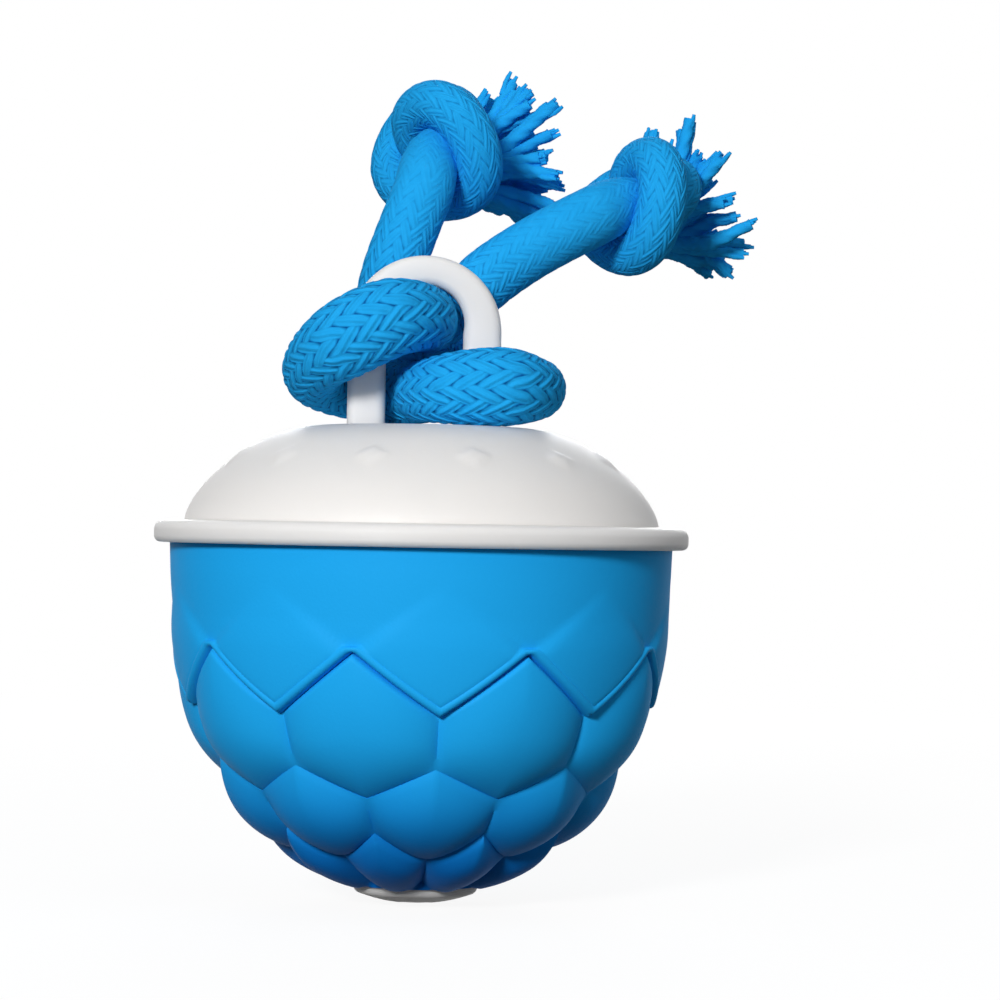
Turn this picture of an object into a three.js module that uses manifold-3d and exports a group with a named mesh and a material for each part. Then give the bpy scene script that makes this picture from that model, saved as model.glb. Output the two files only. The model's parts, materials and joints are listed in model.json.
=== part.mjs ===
// Rolling ball toy: a ball in a scaled sleeve, a domed lid with a loop, a hitched rope and a drive core.
// Millimetres, +Z up, origin on the floor under the middle of the foot. The front faces -Y.
import * as THREE from "three";
import { mergeVertices } from "three/addons/utils/BufferGeometryUtils.js";
import Module from "manifold-3d";

const wasm = await Module();
wasm.setup();

// Fits shared by the pieces
const partingGap = 0.3;
const runningGap = 0.15;
const pinGap = 0.1;
const seatGap = 0.2;
const nestGap = 0.25;
const tipGap = 0.5;
const joinLap = 0.5;
const cutOver = 1;
const roundSides = 40;

// Sleeve: radii from its top, heights from the floor
const sleeveTopRadius = 39.5;
const sleeveFlare = 0.4;
const sleeveRadius = sleeveTopRadius - sleeveFlare;
const sleeveFoot = 0.5;
const sleeveDrop = 44.5;
const sleeveSkirt = 11;
const sleeveShoulder = sleeveFoot + sleeveDrop;
const sleeveWall = 2;
const sleeveLip = 2.8;
const mouthGap = 0.4;

// Scales: heights of the zigzag edges as [peak, valley], from the band down to the lip
const scaleCount = 9;
const scaleTurn = THREE.MathUtils.degToRad(-15);
const scaleHeight = 1.5;
const bandHeights = [40.5, 31];
const secondHeights = [22.8, 18.2];
const thirdHeights = [12.2, 9.3];
const lipReach = 0.8;
const rowHeights = [1.6, 1.5, 1];
const bandRing = 4;
const ridgeWidth = 1.3;
const ridgeHeight = 0.35;
const ridgeFoot = 0.1;
const ridgeSeat = 0.8;
const seamRaise = 0.12;
const crestShare = 0.6;
const crestFall = 0.55;

// Lid
const flangeOverhang = 2.5;
const flangeRadius = sleeveTopRadius + flangeOverhang;
const flangeThickness = 3.4;
const flangeBottom = sleeveShoulder + sleeveSkirt;
const flangeTop = flangeBottom + flangeThickness;
const sleeveTop = flangeBottom - partingGap;
const domeSetback = 4.7;
const domeRadius = flangeRadius - domeSetback;
const domeCrown = 19;
const domePadHeight = 15.4;
const domeWall = 2.2;
const domePower = 0.635;
const padTop = flangeTop + domePadHeight;
const padUnderside = padTop - domeWall;
const spigotDepth = 5;
const spigotWall = 2;
const bossRadius = 6.4;
const hexRadius = 5.2;

// Loop
const loopWidth = 6;
const loopDepth = 5;
const loopCorner = 1.2;
const loopBend = 9.05;
const loopHeight = 26.9;
const loopThinning = 0.7;
const loopSeat = 0.05;
const loopBends = 13;
const loopArcCentre = padTop + loopHeight - loopBend - loopWidth / 2;
const legPlaces = [[-loopBend, 0], [loopBend, 0]];

// Screws
const screwHead = 2.2;
const screwHeadHeight = 1.4;
const screwShank = 1.1;
const screwHole = screwShank + pinGap;
const loopScrewReach = 8;
const wellScrewReach = 10;
const bridgeScrewReach = 6;
const hubScrewTip = 1.2;

// Hub with its board, socket and button
const footRadius = 7.3;
const hubRadius = 9.8;
const hubRounding = 2.5;
const hubFloor = 1.8;
const hubBore = 7;
const bushWall = 1.4;
const bushLength = 4;
const collarTop = 11;
const hubLip = 1.7;
const hubFlangeBottom = collarTop + seatGap;
const hubFlangeThickness = 3.9;
const hubTop = hubFlangeBottom + hubFlangeThickness;
const hubScrewDistance = 11.3;
const boardLedge = 7.9;
const boardRadius = 7.8;
const boardThickness = 1;
const boardBottom = boardLedge + pinGap;
const boardTop = boardBottom + boardThickness;
const chipWidth = 4;
const chipHeight = 0.9;
const chipY = 2.6;
const lampSize = [1.6, 0.9, 0.6];
const lampPlace = [5.3, 0.4];
const buttonY = 3;
const buttonRadius = 3;
const buttonFlange = 3.6;
const buttonFlangeHeight = 0.8;
const buttonRecess = 0.5;
const buttonChamfer = 0.4;
const plungerRadius = 1;
const plungerHeight = 0.6;
const switchWidth = 4.4;
const switchGap = 1.1;
const socketY = -3.4;
const socketWidth = 8.9;
const socketHeight = 3.2;
const socketWall = 0.4;
const socketClear = 0.35;
const socketMouth = 0.9;
const tongueWidth = 6.6;
const tongueThickness = 0.7;

// Bowl inside the sleeve, with its screw wells
const bowlWall = 2;
const bowlSides = 32;
const bowlOuter = sleeveRadius - scaleHeight - sleeveWall - nestGap;
const bowlDrop = sleeveDrop - scaleHeight - sleeveWall - nestGap;
const sealRoom = 1.6;
const bowlRim = flangeBottom - sealRoom;
const bowlMouth = hubRadius + runningGap + bushWall + runningGap;
const sleeveMouth = hubRadius + mouthGap;
const hubFlange = bowlMouth + hubLip;
const collarWall = 2;
const wellCount = 3;
const wellTurn = THREE.MathUtils.degToRad(30);
const wellInset = 5.85;
const wellDistance = bowlOuter - wellInset;
const wellOuter = 3.4;
const wellBore = 2.65;
const wellDepth = 7.6;
const wellTop = flangeBottom - wellDepth;
const wellShelf = 2.5;
const spigotOuter = bowlOuter - bowlWall - nestGap;
const spigotInner = spigotOuter - spigotWall;

// Drive core
const floorBottom = hubTop + pinGap;
const floorThickness = 2.6;
const floorTop = floorBottom + floorThickness;
const floorGap = 0.72;
const neckBore = 6.2;
const wireHoleRadius = 4.6;
const bridgeDepth = 7;
const bridgeThickness = 3;
const bridgeBottom = flangeBottom - bridgeDepth;
const bridgeTop = bridgeBottom + bridgeThickness;
const bridgeGap = 1.8;
const bridgeRadius = wellDistance - wellOuter - bridgeGap;
const batteryRadius = 7.1;
const batteryLength = 25;
const batteryY = 10;
const cellLift = 0.4;
const batteryAxis = floorTop + batteryRadius + cellLift;
const saddleX = 9;
const saddleWidth = 2.5;
const saddleWall = 1.3;
const strapWidth = 6;
const strapThickness = 1.2;
const pillarRadius = 2.8;
const pillarGap = 1.7;
const backPillar = [batteryLength / 2 + pillarGap + pillarRadius, 5];
const frontPillar = [15.5, -5];
const pillars = [backPillar, frontPillar].flatMap(([x, y]) => [[x, y], [-x, y]]);
const weightInner = 6.5;
const weightSetback = 0.8;
const weightOuter = bridgeRadius - weightSetback;
const weightHalfAngle = THREE.MathUtils.degToRad(57);
const weightHeight = 12;
const weightScrewX = 8;
const weightScrewInset = 8;
const weightScrews = [-weightScrewX, weightScrewX].map((x) => [x, weightOuter - weightScrewInset]);

// Gears: a fixed sun gear, a compound gear on a pin and the motor's pinion
const sunTeeth = 24;
const planetTeeth = 12;
const sunModule = 0.75;
const wheelTeeth = 34;
const pinionTeeth = 12;
const wheelModule = 0.5;
const backlash = 0.16;
const addendum = 0.8;
const dedendum = 1.2;
const pressureAngle = THREE.MathUtils.degToRad(20);
const wheelStandoff = 2;
const wheelThickness = 2.3;
const wheelBottom = bridgeTop + wheelStandoff;
const wheelTop = wheelBottom + wheelThickness;
const sunStandoff = 1.3;
const sunThickness = 3.8;
const sunBottom = wheelTop + sunStandoff;
const sunTop = sunBottom + sunThickness;
const gearHubWall = 1.4;
const pinionLap = 0.5;
const planetDistance = (sunModule * (sunTeeth + planetTeeth)) / 2;
const wheelDistance = (wheelModule * (wheelTeeth + pinionTeeth)) / 2;
const motorDistance = 12.5;
const motorAngle = -Math.PI / 2;
const planetSwing = Math.acos(
  (planetDistance ** 2 + motorDistance ** 2 - wheelDistance ** 2) / (2 * planetDistance * motorDistance),
);
const planetAngle = motorAngle + planetSwing;
const planet = around(planetDistance, planetAngle);
const motor = around(motorDistance, motorAngle);

// Axle, gear pin and motor
const axleRadius = 2;
const axleRoom = 4.5;
const axleTop = padUnderside - axleRoom;
const axleBoss = 4;
const washerLip = 0.6;
const washerThickness = 0.6;
const axleShoulder = sunBottom - seatGap - washerThickness - pinGap;
const bushOuter = 3.2;
const bushOver = 0.4;
const bushRoom = 1.5;
const gearPinRadius = 1.5;
const clipReach = 1.6;
const clipThickness = 0.8;
const pinOver = 0.4;
const gearPinTop = sunTop + clipThickness + pinOver;
const motorRadius = 7.75;
const motorLength = 20;
const motorBoss = 3;
const motorBossHeight = 1.5;
const motorSocketWall = 1.4;
const motorSocketDepth = 9;
const shaftRadius = 1;
const shaftOver = 0.9;
const shaftTop = wheelTop + shaftOver;

// Leads: turning points as [x, y], mirrored left and right
const leadRadius = 0.6;
const motorLeadX = 2.5;
const motorLeadDrop = 4;
const motorLeadBend = [2, -7.5];
const motorLeadPass = [1.4, -5];
const motorLeadRise = 3;
const cellLeadDrop = 3;
const cellLeadBend = [1, 0.4, 0.3];
const cellLeadFall = [0.8, 7, 2.4];
const cellLeadTurns = [[12.9, 3, 1], [9.4, -0.6, 1], [5.6, -1.7, 1.4], [3.2, -2, -0.2], [3.1, -2, -4.6]];

// Rope: route of the hitch as [x, y, z, radius], from the left tail round both legs to the right tail
const hitch = [
  [-3.8, 9.6, 104.4, 4.7],
  [-5.6, 10.8, 98.4, 4.8],
  [-5.9, 13.6, 93.4, 4.9],
  [-2.6, 16.0, 89.6, 4.9],
  [4.8, 14.8, 84.4, 4.9],
  [11.6, 10.2, 82.6, 5.0],
  [16.9, 4.4, 81.4, 4.6],
  [17.0, -3.2, 80.9, 4.7],
  [12.4, -9.7, 80.9, 5.8],
  [5.2, -9.0, 80.6, 5.4],
  [0.4, -3.0, 80.3, 4.6],
  [-0.4, 3.0, 80.3, 4.6],
  [-5.2, 8.6, 80.6, 4.9],
  [-11.8, 8.8, 81.4, 5.0],
  [-16.9, 3.4, 82.4, 4.6],
  [-17.0, -3.2, 84.4, 4.7],
  [-12.5, -9.5, 87.7, 5.8],
  [-5.4, -9.2, 90.9, 5.4],
  [-0.5, -3.4, 91.2, 4.5],
  [0.4, 2.6, 91.0, 4.4],
  [4.4, 8.0, 93.9, 4.6],
  [10.2, 9.8, 99.3, 4.7],
  [17.3, 11.2, 104.3, 4.7],
];

// Half of an overhand knot in units of knotScale; the other half is the same, turned over about its X axis
const halfKnot = [
  [0.9, -0.05, -1.75],
  [0.5, -0.03, -1.17],
  [0.18, -0.12, -0.68],
  [-0.08, -0.4, -0.27],
  [-0.5, -0.47, 0.12],
  [-0.77, -0.18, 0.56],
  [-0.77, 0.22, 0.95],
  [-0.46, 0.67, 1.16],
  [0.05, 0.96, 1.12],
  [0.56, 0.99, 0.86],
  [0.91, 0.72, 0.5],
  [1.05, 0.26, 0.16],
];
const knotScale = 8;
const knotRope = 3.3;
const knotLead = [4.6, 4.1, 3.6];
const leftKnot = {
  centre: [1.5, 25, 122.1],
  entry: [0.15, 0.77, 0.62],
  exit: [0.1, 0.95, -0.5],
  aim: [0.9, 0.3, 0.3],
  length: 13,
};
const rightKnot = {
  centre: [35.3, 27, 113.4],
  entry: [0.55, 0.78, 0.2],
  exit: [0.05, 0.93, -0.5],
  aim: [0.8, 0.35, 0.45],
  length: 10,
};
const ropeSides = 8;
const ropeStepsPerPoint = 2;
const ropeEnd = 3.4;
const ropeStub = 2;
const tasselSlice = 1.4;
const tasselStrands = 9;
const tasselSpread = 12.5;
const tasselBend = 4;
const strandTurn = 2.4;
const strandRadius = 1.3;
const strandSteps = 4;

// Colours and finishes
function finish(color, roughness, metalness = 0) {
  return new THREE.MeshStandardMaterial({ color, roughness, metalness });
}
const whitePlastic = finish(0xe9e6e1, 0.35);
const blueRubber = finish(0x1f86cf, 0.55);
const blueRope = finish(0x1c84cf, 0.9);
const greySeal = finish(0x53575c, 0.8);
const darkPlastic = finish(0x2f3438, 0.5);
const gearPlastic = finish(0xe8e3d2, 0.4);
const steel = finish(0xb9bcc0, 0.3, 1);
const bronze = finish(0xb08a4a, 0.35, 1);
const boardGreen = finish(0x1d6b40, 0.5);
const cellWrap = finish(0x2f6fb3, 0.45);
const redWire = finish(0xb3262a, 0.5);
const blackWire = finish(0x17181a, 0.5);
const lampClear = finish(0xeef4f7, 0.15);

const toy = new THREE.Group();

// Closed mesh to solid and back, for joins and cuts
function toSolid(geometry) {
  const bare = geometry.clone();
  bare.deleteAttribute("normal");
  bare.deleteAttribute("uv");
  const merged = mergeVertices(bare, 1e-4);
  const corners = merged.index.array;
  const kept = [];
  for (let i = 0; i < corners.length; i += 3) {
    const [a, b, c] = corners.slice(i, i + 3);
    if (a !== b && b !== c && c !== a) {
      kept.push(a, b, c);
    }
  }
  const vertProperties = new Float32Array(merged.attributes.position.array);
  return new wasm.Manifold(new wasm.Mesh({ numProp: 3, vertProperties, triVerts: new Uint32Array(kept) }));
}

function toGeometry(solid) {
  const mesh = solid.getMesh();
  const geometry = new THREE.BufferGeometry();
  geometry.setAttribute("position", new THREE.BufferAttribute(mesh.vertProperties, 3));
  geometry.setIndex(new THREE.BufferAttribute(mesh.triVerts, 1));
  geometry.computeVertexNormals();
  return geometry;
}

function combine(base, { joined = [], cut = [] }) {
  let solid = toSolid(base);
  for (const geometry of joined) {
    solid = solid.add(toSolid(geometry));
  }
  for (const geometry of cut) {
    solid = solid.subtract(toSolid(geometry));
  }
  return toGeometry(solid);
}

function addPiece(name, geometry, material) {
  const mesh = new THREE.Mesh(geometry, material);
  mesh.name = name;
  toy.add(mesh);
}

// Turned pieces, from [radius, height] pairs
function turned(profile, sides = roundSides) {
  const points = profile.map(([radius, height]) => new THREE.Vector2(radius, height));
  if (THREE.ShapeUtils.area(points) < 0) {
    points.reverse();
  }
  const onAxis = points[0].x === 0 && points[points.length - 1].x === 0;
  if (!onAxis) {
    points.push(points[0].clone());
  }
  return new THREE.LatheGeometry(points, sides).rotateX(Math.PI / 2);
}

function rod(radius, bottom, top, sides = roundSides) {
  return turned([[0, bottom], [radius, bottom], [radius, top], [0, top]], sides);
}

function ring(inner, outer, bottom, top, sides = roundSides) {
  return turned([[inner, bottom], [outer, bottom], [outer, top], [inner, top]], sides);
}

function slab(shape, bottom, top, curveSegments = 12) {
  const options = { depth: top - bottom, bevelEnabled: false, curveSegments };
  return new THREE.ExtrudeGeometry(shape, options).translate(0, 0, bottom);
}

// Plate whose outline stands in the YZ plane, spread along X about its middle
function upright(shape, width, curveSegments) {
  const standing = new THREE.Matrix4().makeBasis(
    new THREE.Vector3(0, 1, 0),
    new THREE.Vector3(0, 0, 1),
    new THREE.Vector3(1, 0, 0),
  );
  return slab(shape, -width / 2, width / 2, curveSegments).applyMatrix4(standing);
}

function block(width, depth, bottom, top, x, y) {
  const height = top - bottom;
  return new THREE.BoxGeometry(width, depth, height).translate(x, y, bottom + height / 2);
}

function at(geometry, [x, y]) {
  return geometry.translate(x, y, 0);
}

function around(distance, angle) {
  return [distance * Math.cos(angle), distance * Math.sin(angle)];
}

// Rings of points joined into one closed skin, capped at both ends or closed on itself
function skin(rings, closed = false) {
  const sides = rings[0].length;
  const positions = rings.flat().flatMap((point) => [point.x, point.y, point.z]);
  const corners = [];
  const last = closed ? rings.length : rings.length - 1;
  for (let i = 0; i < last; i += 1) {
    const lower = i * sides;
    const upper = ((i + 1) % rings.length) * sides;
    for (let k = 0; k < sides; k += 1) {
      const next = (k + 1) % sides;
      corners.push(lower + k, lower + next, upper + k);
      corners.push(lower + next, upper + next, upper + k);
    }
  }
  if (!closed) {
    const top = (rings.length - 1) * sides;
    for (let k = 1; k < sides - 1; k += 1) {
      corners.push(0, k + 1, k);
      corners.push(top, top + k, top + k + 1);
    }
  }
  const geometry = new THREE.BufferGeometry();
  geometry.setAttribute("position", new THREE.Float32BufferAttribute(positions, 3));
  geometry.setIndex(corners);
  geometry.computeVertexNormals();
  return geometry;
}

// Round tube along [x, y, z, radius] points, carried along without twisting
function tube(points, sides, stepsPerPoint) {
  const centres = points.map(([x, y, z]) => new THREE.Vector3(x, y, z));
  const curve = new THREE.CatmullRomCurve3(centres, false, "centripetal");
  const steps = (points.length - 1) * stepsPerPoint;
  const rings = [];
  const line = [];
  let normal = null;
  for (let i = 0; i <= steps; i += 1) {
    const share = i / steps;
    const place = share * (points.length - 1);
    const before = Math.min(Math.floor(place), points.length - 2);
    const radius = THREE.MathUtils.lerp(points[before][3], points[before + 1][3], place - before);
    const centre = curve.getPoint(share);
    const tangent = curve.getTangent(share);
    normal ??= new THREE.Vector3(tangent.y, -tangent.x, tangent.z + 0.3).cross(tangent);
    normal = normal.clone().addScaledVector(tangent, -normal.dot(tangent)).normalize();
    const side = tangent.clone().cross(normal);
    const round = [];
    for (let k = 0; k < sides; k += 1) {
      const angle = (k / sides) * 2 * Math.PI;
      const out = normal.clone().multiplyScalar(Math.cos(angle)).addScaledVector(side, Math.sin(angle));
      round.push(centre.clone().addScaledVector(out, radius));
    }
    rings.push(round);
    line.push({ centre, radius });
  }
  return { geometry: skin(rings), line };
}

// Screw with its head on one side of a seat: direction 1 points the tip up, -1 down
function screw(name, [x, y], headBottom, tip, direction) {
  const headTop = headBottom - direction * screwHeadHeight;
  const profile = [[0, headTop], [screwHead, headTop], [screwHead, headBottom]];
  profile.push([screwShank, headBottom], [screwShank, tip], [0, tip]);
  addPiece(name, at(turned(profile, 8), [x, y]), steel);
}

// Dome: its height over the flange at a radius, and its points from the pad down to the foot
function domeHeight(r, radius, crown) {
  return crown * (1 - (r / radius) ** 2) ** domePower;
}

function domeCurve(radius, crown, padHeight, steps) {
  const padRadius = radius * Math.sqrt(1 - (padHeight / crown) ** (1 / domePower));
  const points = [];
  for (let i = 0; i <= steps; i += 1) {
    const share = 1 - (1 - i / steps) ** 2;
    const r = padRadius + (radius - padRadius) * share;
    points.push([r, flangeTop + domeHeight(r, radius, crown)]);
  }
  return points;
}

function flangeEdge() {
  const edgeRadius = flangeThickness / 2;
  const steps = 4;
  const points = [];
  for (let i = 0; i <= steps; i += 1) {
    const [out, up] = around(edgeRadius, Math.PI / 2 - (i / steps) * Math.PI);
    points.push([flangeRadius - edgeRadius + out, flangeTop - edgeRadius + up]);
  }
  return points;
}

const wellPlaces = Array.from({ length: wellCount }, (_, i) =>
  around(wellDistance, wellTurn + (i * 2 * Math.PI) / wellCount),
);

function domeCover() {
  const outside = domeCurve(domeRadius, domeCrown, domePadHeight, 7);
  const outline = [[0, padTop], ...outside, ...flangeEdge(), [spigotOuter, flangeBottom]];
  const innerRadius = domeRadius - domeWall;
  const innerCrown = domeCrown - domeWall;
  const inside = domeCurve(innerRadius, innerCrown, padUnderside - flangeTop, 5);
  const innerArc = inside.filter(([r]) => r < spigotInner - cutOver).reverse();
  const spigotBottom = flangeBottom - spigotDepth;
  const profile = [
    ...outline,
    [spigotOuter, spigotBottom],
    [spigotInner, spigotBottom],
    [spigotInner, flangeTop + domeHeight(spigotInner, innerRadius, innerCrown)],
    ...innerArc,
    [0, padUnderside],
  ];
  const filled = toSolid(turned([...outline, [spigotOuter, wellTop], [0, wellTop]]));
  let solid = toSolid(turned(profile));
  solid = solid.add(toSolid(rod(bossRadius, sunTop + seatGap, padUnderside + cutOver, 24)));
  solid = solid.add(toSolid(rod(hexRadius, sunBottom, sunTop + cutOver, 6)));
  solid = solid.subtract(toSolid(rod(bushOuter + pinGap, sunBottom - cutOver, axleTop + bushRoom, 20)));
  for (const place of wellPlaces) {
    const boss = toSolid(at(rod(wellOuter, wellTop + partingGap, padTop, 16), place));
    solid = solid.add(boss.intersect(filled));
  }
  const wellHoleTop = wellTop + wellScrewReach + tipGap;
  for (const place of wellPlaces) {
    solid = solid.subtract(toSolid(at(rod(screwHole, wellTop - cutOver, wellHoleTop, 12), place)));
  }
  for (const place of legPlaces) {
    solid = solid.subtract(toSolid(at(rod(screwHole, padUnderside - cutOver, padTop + cutOver, 12), place)));
  }
  return toGeometry(solid);
}
addPiece("dome_cover", domeCover(), whitePlastic);

// Loop: a bar with rounded corners carried up, over and down
function ropeLoop() {
  const flats = [loopWidth / 2 - loopCorner, loopDepth / 2 - loopCorner];
  const section = [];
  for (const [corner, [u, v]] of [[1, 1], [-1, 1], [-1, -1], [1, -1]].entries()) {
    for (let i = 0; i <= 2; i += 1) {
      const [out, over] = around(loopCorner, ((corner + i / 2) * Math.PI) / 2);
      section.push([u * flats[0] + out, v * flats[1] + over]);
    }
  }
  const legBottom = padTop + loopSeat;
  const stations = [[-loopBend, legBottom, Math.PI, 1], [-loopBend, loopArcCentre, Math.PI, 1]];
  for (let i = 1; i < loopBends; i += 1) {
    const angle = Math.PI * (1 - i / loopBends);
    const thin = loopThinning * Math.sin(angle);
    const [x, z] = around(loopBend + thin, angle);
    stations.push([x, loopArcCentre + z, angle, 1 - (2 * thin) / loopWidth]);
  }
  stations.push([loopBend, loopArcCentre, 0, 1], [loopBend, legBottom, 0, 1]);
  const rings = stations.map(([x, z, angle, share]) =>
    section.map(([u, v]) => {
      const [out, up] = around(u * share, angle);
      return new THREE.Vector3(x + out, v, z + up);
    }),
  );
  const holeTop = padTop + loopScrewReach + tipGap;
  const cut = legPlaces.map((place) => at(rod(screwHole, padTop - cutOver, holeTop, 12), place));
  return combine(skin(rings.reverse()), { cut });
}
addPiece("rope_loop", ropeLoop(), whitePlastic);
legPlaces.forEach((place, i) => {
  screw(`loop_screw_${i + 1}`, place, padUnderside - pinGap, padTop + loopScrewReach, 1);
});

// Bowl under the sleeve, with screw wells that open through its wall
function bowlArc(radius, drop, mouth) {
  const angles = [Math.asin(mouth / radius)];
  for (let degrees = 30; degrees <= 90; degrees += 12) {
    angles.push(THREE.MathUtils.degToRad(degrees));
  }
  return angles.map((angle) => [radius * Math.sin(angle), sleeveShoulder - drop * Math.cos(angle)]);
}

function lowerShell() {
  const outside = bowlArc(bowlOuter, bowlDrop, bowlMouth);
  const collarOuter = bowlMouth + collarWall;
  const inside = bowlArc(bowlOuter - bowlWall, bowlDrop - bowlWall, collarOuter).reverse();
  const rim = [[bowlOuter, bowlRim], [bowlOuter - bowlWall, bowlRim]];
  const profile = [...outside, ...rim, ...inside, [collarOuter, collarTop], [bowlMouth, collarTop]];
  const filled = toSolid(turned([...outside, rim[0], [0, bowlRim], [0, outside[0][1]]], bowlSides));
  let solid = toSolid(turned(profile, bowlSides));
  for (const place of wellPlaces) {
    const well = toSolid(at(rod(wellOuter, sleeveLip, wellTop, 16), place));
    solid = solid.add(well.intersect(filled));
  }
  for (const place of wellPlaces) {
    solid = solid.subtract(toSolid(at(rod(wellBore, sleeveLip, wellTop - wellShelf, 16), place)));
    solid = solid.subtract(toSolid(at(rod(screwHole, sleeveLip, wellTop + cutOver, 12), place)));
  }
  return toGeometry(solid);
}
addPiece("lower_shell", lowerShell(), whitePlastic);
wellPlaces.forEach((place, i) => {
  screw(`shell_screw_${i + 1}`, place, wellTop - wellShelf - pinGap, wellTop + wellScrewReach, 1);
});
const sealInner = spigotOuter + partingGap;
const sealRing = ring(sealInner, bowlOuter - runningGap, bowlRim + pinGap, flangeBottom - pinGap);
addPiece("rim_seal", sealRing, greySeal);

// Sleeve: three staggered rows of pillow scales under a smooth band with a ridge on its zigzag edge
const pitch = (2 * Math.PI) / scaleCount;

function zigzag(angle, phase, [peak, valley]) {
  const turn = (((angle - phase) / pitch) % 1 + 1) % 1;
  return peak + (valley - peak) * 2 * Math.min(turn, 1 - turn);
}
const halfTurn = scaleTurn + pitch / 2;
const bandEdge = (angle) => zigzag(angle, scaleTurn, bandHeights);
const secondEdge = (angle) => zigzag(angle, halfTurn, secondHeights);
const thirdEdge = (angle) => zigzag(angle, scaleTurn, thirdHeights);
const valleyRadius = sleeveRadius - scaleHeight;
const valleyDrop = sleeveDrop - scaleHeight;
const lipFall = Math.sqrt(1 - ((sleeveMouth + lipReach) / valleyRadius) ** 2);
const lipEdge = () => sleeveShoulder - valleyDrop * lipFall;
const scaleRows = [
  { top: bandEdge, bottom: secondEdge, phase: scaleTurn, shares: [0, 0.12, 0.4, 0.7, 0.92, 1] },
  { top: secondEdge, bottom: thirdEdge, phase: halfTurn, shares: [0, 0.2, 0.6, 0.9, 1] },
  { top: thirdEdge, bottom: lipEdge, phase: scaleTurn, shares: [0, 0.5, 1] },
];

// Point on the sleeve's valley surface, raised along its normal
function sleevePoint(angle, z, raise) {
  const fall = Math.max(0, (sleeveShoulder - z) / valleyDrop);
  const flare = Math.max(0, (z - sleeveShoulder) / (sleeveTop - sleeveShoulder));
  const radius = valleyRadius * Math.sqrt(Math.max(0, 1 - fall * fall)) + sleeveFlare * flare;
  const slope = new THREE.Vector2(radius / valleyRadius ** 2, -fall / valleyDrop).normalize();
  const r = radius + slope.x * raise;
  return new THREE.Vector3(r * Math.sin(angle), -r * Math.cos(angle), z + slope.y * raise);
}

function pillow(angle, phase, height, share) {
  const across = (((angle - phase) / pitch + 0.5) % 1 + 1) % 1 * 2 - 1;
  const rise = Math.sin((share / crestShare) * (Math.PI / 2));
  const fall = 1 - crestFall * ((share - crestShare) / (1 - crestShare)) ** 2;
  const swell = Math.sqrt(Math.max(0, 1 - across * across)) * (share < crestShare ? rise : fall);
  return seamRaise + height * swell;
}

function gripSleeve() {
  const columns = scaleCount * 6;
  const angles = Array.from({ length: columns }, (_, k) => scaleTurn + (k / columns) * 2 * Math.PI);
  const rings = [];
  const addRing = (height, raise) => {
    rings.push(angles.map((angle) => sleevePoint(angle, height(angle), raise(angle))));
  };
  const addPlain = (r, z) => {
    rings.push(angles.map((angle) => new THREE.Vector3(r * Math.sin(angle), -r * Math.cos(angle), z)));
  };
  addRing(() => sleeveTop, () => scaleHeight);
  addRing(() => sleeveShoulder + bandRing, () => scaleHeight);
  addRing((angle) => bandEdge(angle) + ridgeWidth, () => scaleHeight);
  addRing((angle) => bandEdge(angle) + ridgeWidth / 2, () => scaleHeight + ridgeHeight);
  addRing((angle) => bandEdge(angle) + ridgeFoot, () => scaleHeight * ridgeSeat);
  scaleRows.forEach((row, i) => {
    for (const share of row.shares) {
      const height = (angle) => row.top(angle) + (row.bottom(angle) - row.top(angle)) * share;
      addRing(height, (angle) => (share === 0 ? 0 : pillow(angle, row.phase, rowHeights[i], share)));
    }
  });
  addPlain(sleeveMouth, sleeveLip);
  const innerRadius = sleeveRadius - scaleHeight - sleeveWall;
  const innerDrop = sleeveDrop - scaleHeight - sleeveWall;
  for (const [radius, z] of bowlArc(innerRadius, innerDrop, sleeveMouth)) {
    addPlain(radius, z);
  }
  addPlain(innerRadius, sleeveTop);
  return skin(rings.reverse(), true);
}
addPiece("grip_sleeve", gripSleeve(), blueRubber);

// Bearings between the shell and the core
const axleBush = ring(axleRadius + runningGap, bushOuter, sunBottom + seatGap, axleTop + bushOver, 20);
addPiece("axle_bush", axleBush, bronze);
const hubBush = ring(hubRadius + runningGap, bowlMouth - runningGap, collarTop - bushLength, collarTop, 32);
addPiece("hub_bush", hubBush, darkPlastic);

// Involute gear outline with its first tooth at the given angle
function gearShape(teeth, module, firstTooth, flankPoints) {
  const pitchRadius = (module * teeth) / 2;
  const baseRadius = pitchRadius * Math.cos(pressureAngle);
  const rootRadius = pitchRadius - dedendum * module;
  const tipRadius = pitchRadius + addendum * module;
  const involute = (radius) => {
    const angle = Math.acos(Math.min(1, baseRadius / radius));
    return Math.tan(angle) - angle;
  };
  const halfTooth = Math.PI / (2 * teeth) - backlash / (2 * pitchRadius);
  const halfAt = (radius) => halfTooth + involute(pitchRadius) - involute(radius);
  const flank = [];
  for (let i = 0; i < flankPoints; i += 1) {
    const radius = rootRadius + ((tipRadius - rootRadius) * i) / (flankPoints - 1);
    flank.push([radius, halfAt(radius)]);
  }
  const points = [];
  for (let i = 0; i < teeth; i += 1) {
    const middle = firstTooth + (i * 2 * Math.PI) / teeth;
    for (const [radius, half] of flank) {
      points.push(new THREE.Vector2(...around(radius, middle - half)));
    }
    for (const [radius, half] of [...flank].reverse()) {
      points.push(new THREE.Vector2(...around(radius, middle + half)));
    }
  }
  return new THREE.Shape(points);
}

const wheelAngle = Math.atan2(motor[1] - planet[1], motor[0] - planet[0]);
const sunGear = slab(gearShape(sunTeeth, sunModule, planetAngle, 2), sunBottom, sunTop);
const sunBore = rod(hexRadius + seatGap, sunBottom - cutOver, sunTop + cutOver, 6);
addPiece("sun_gear", combine(sunGear, { cut: [sunBore] }), gearPlastic);

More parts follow.
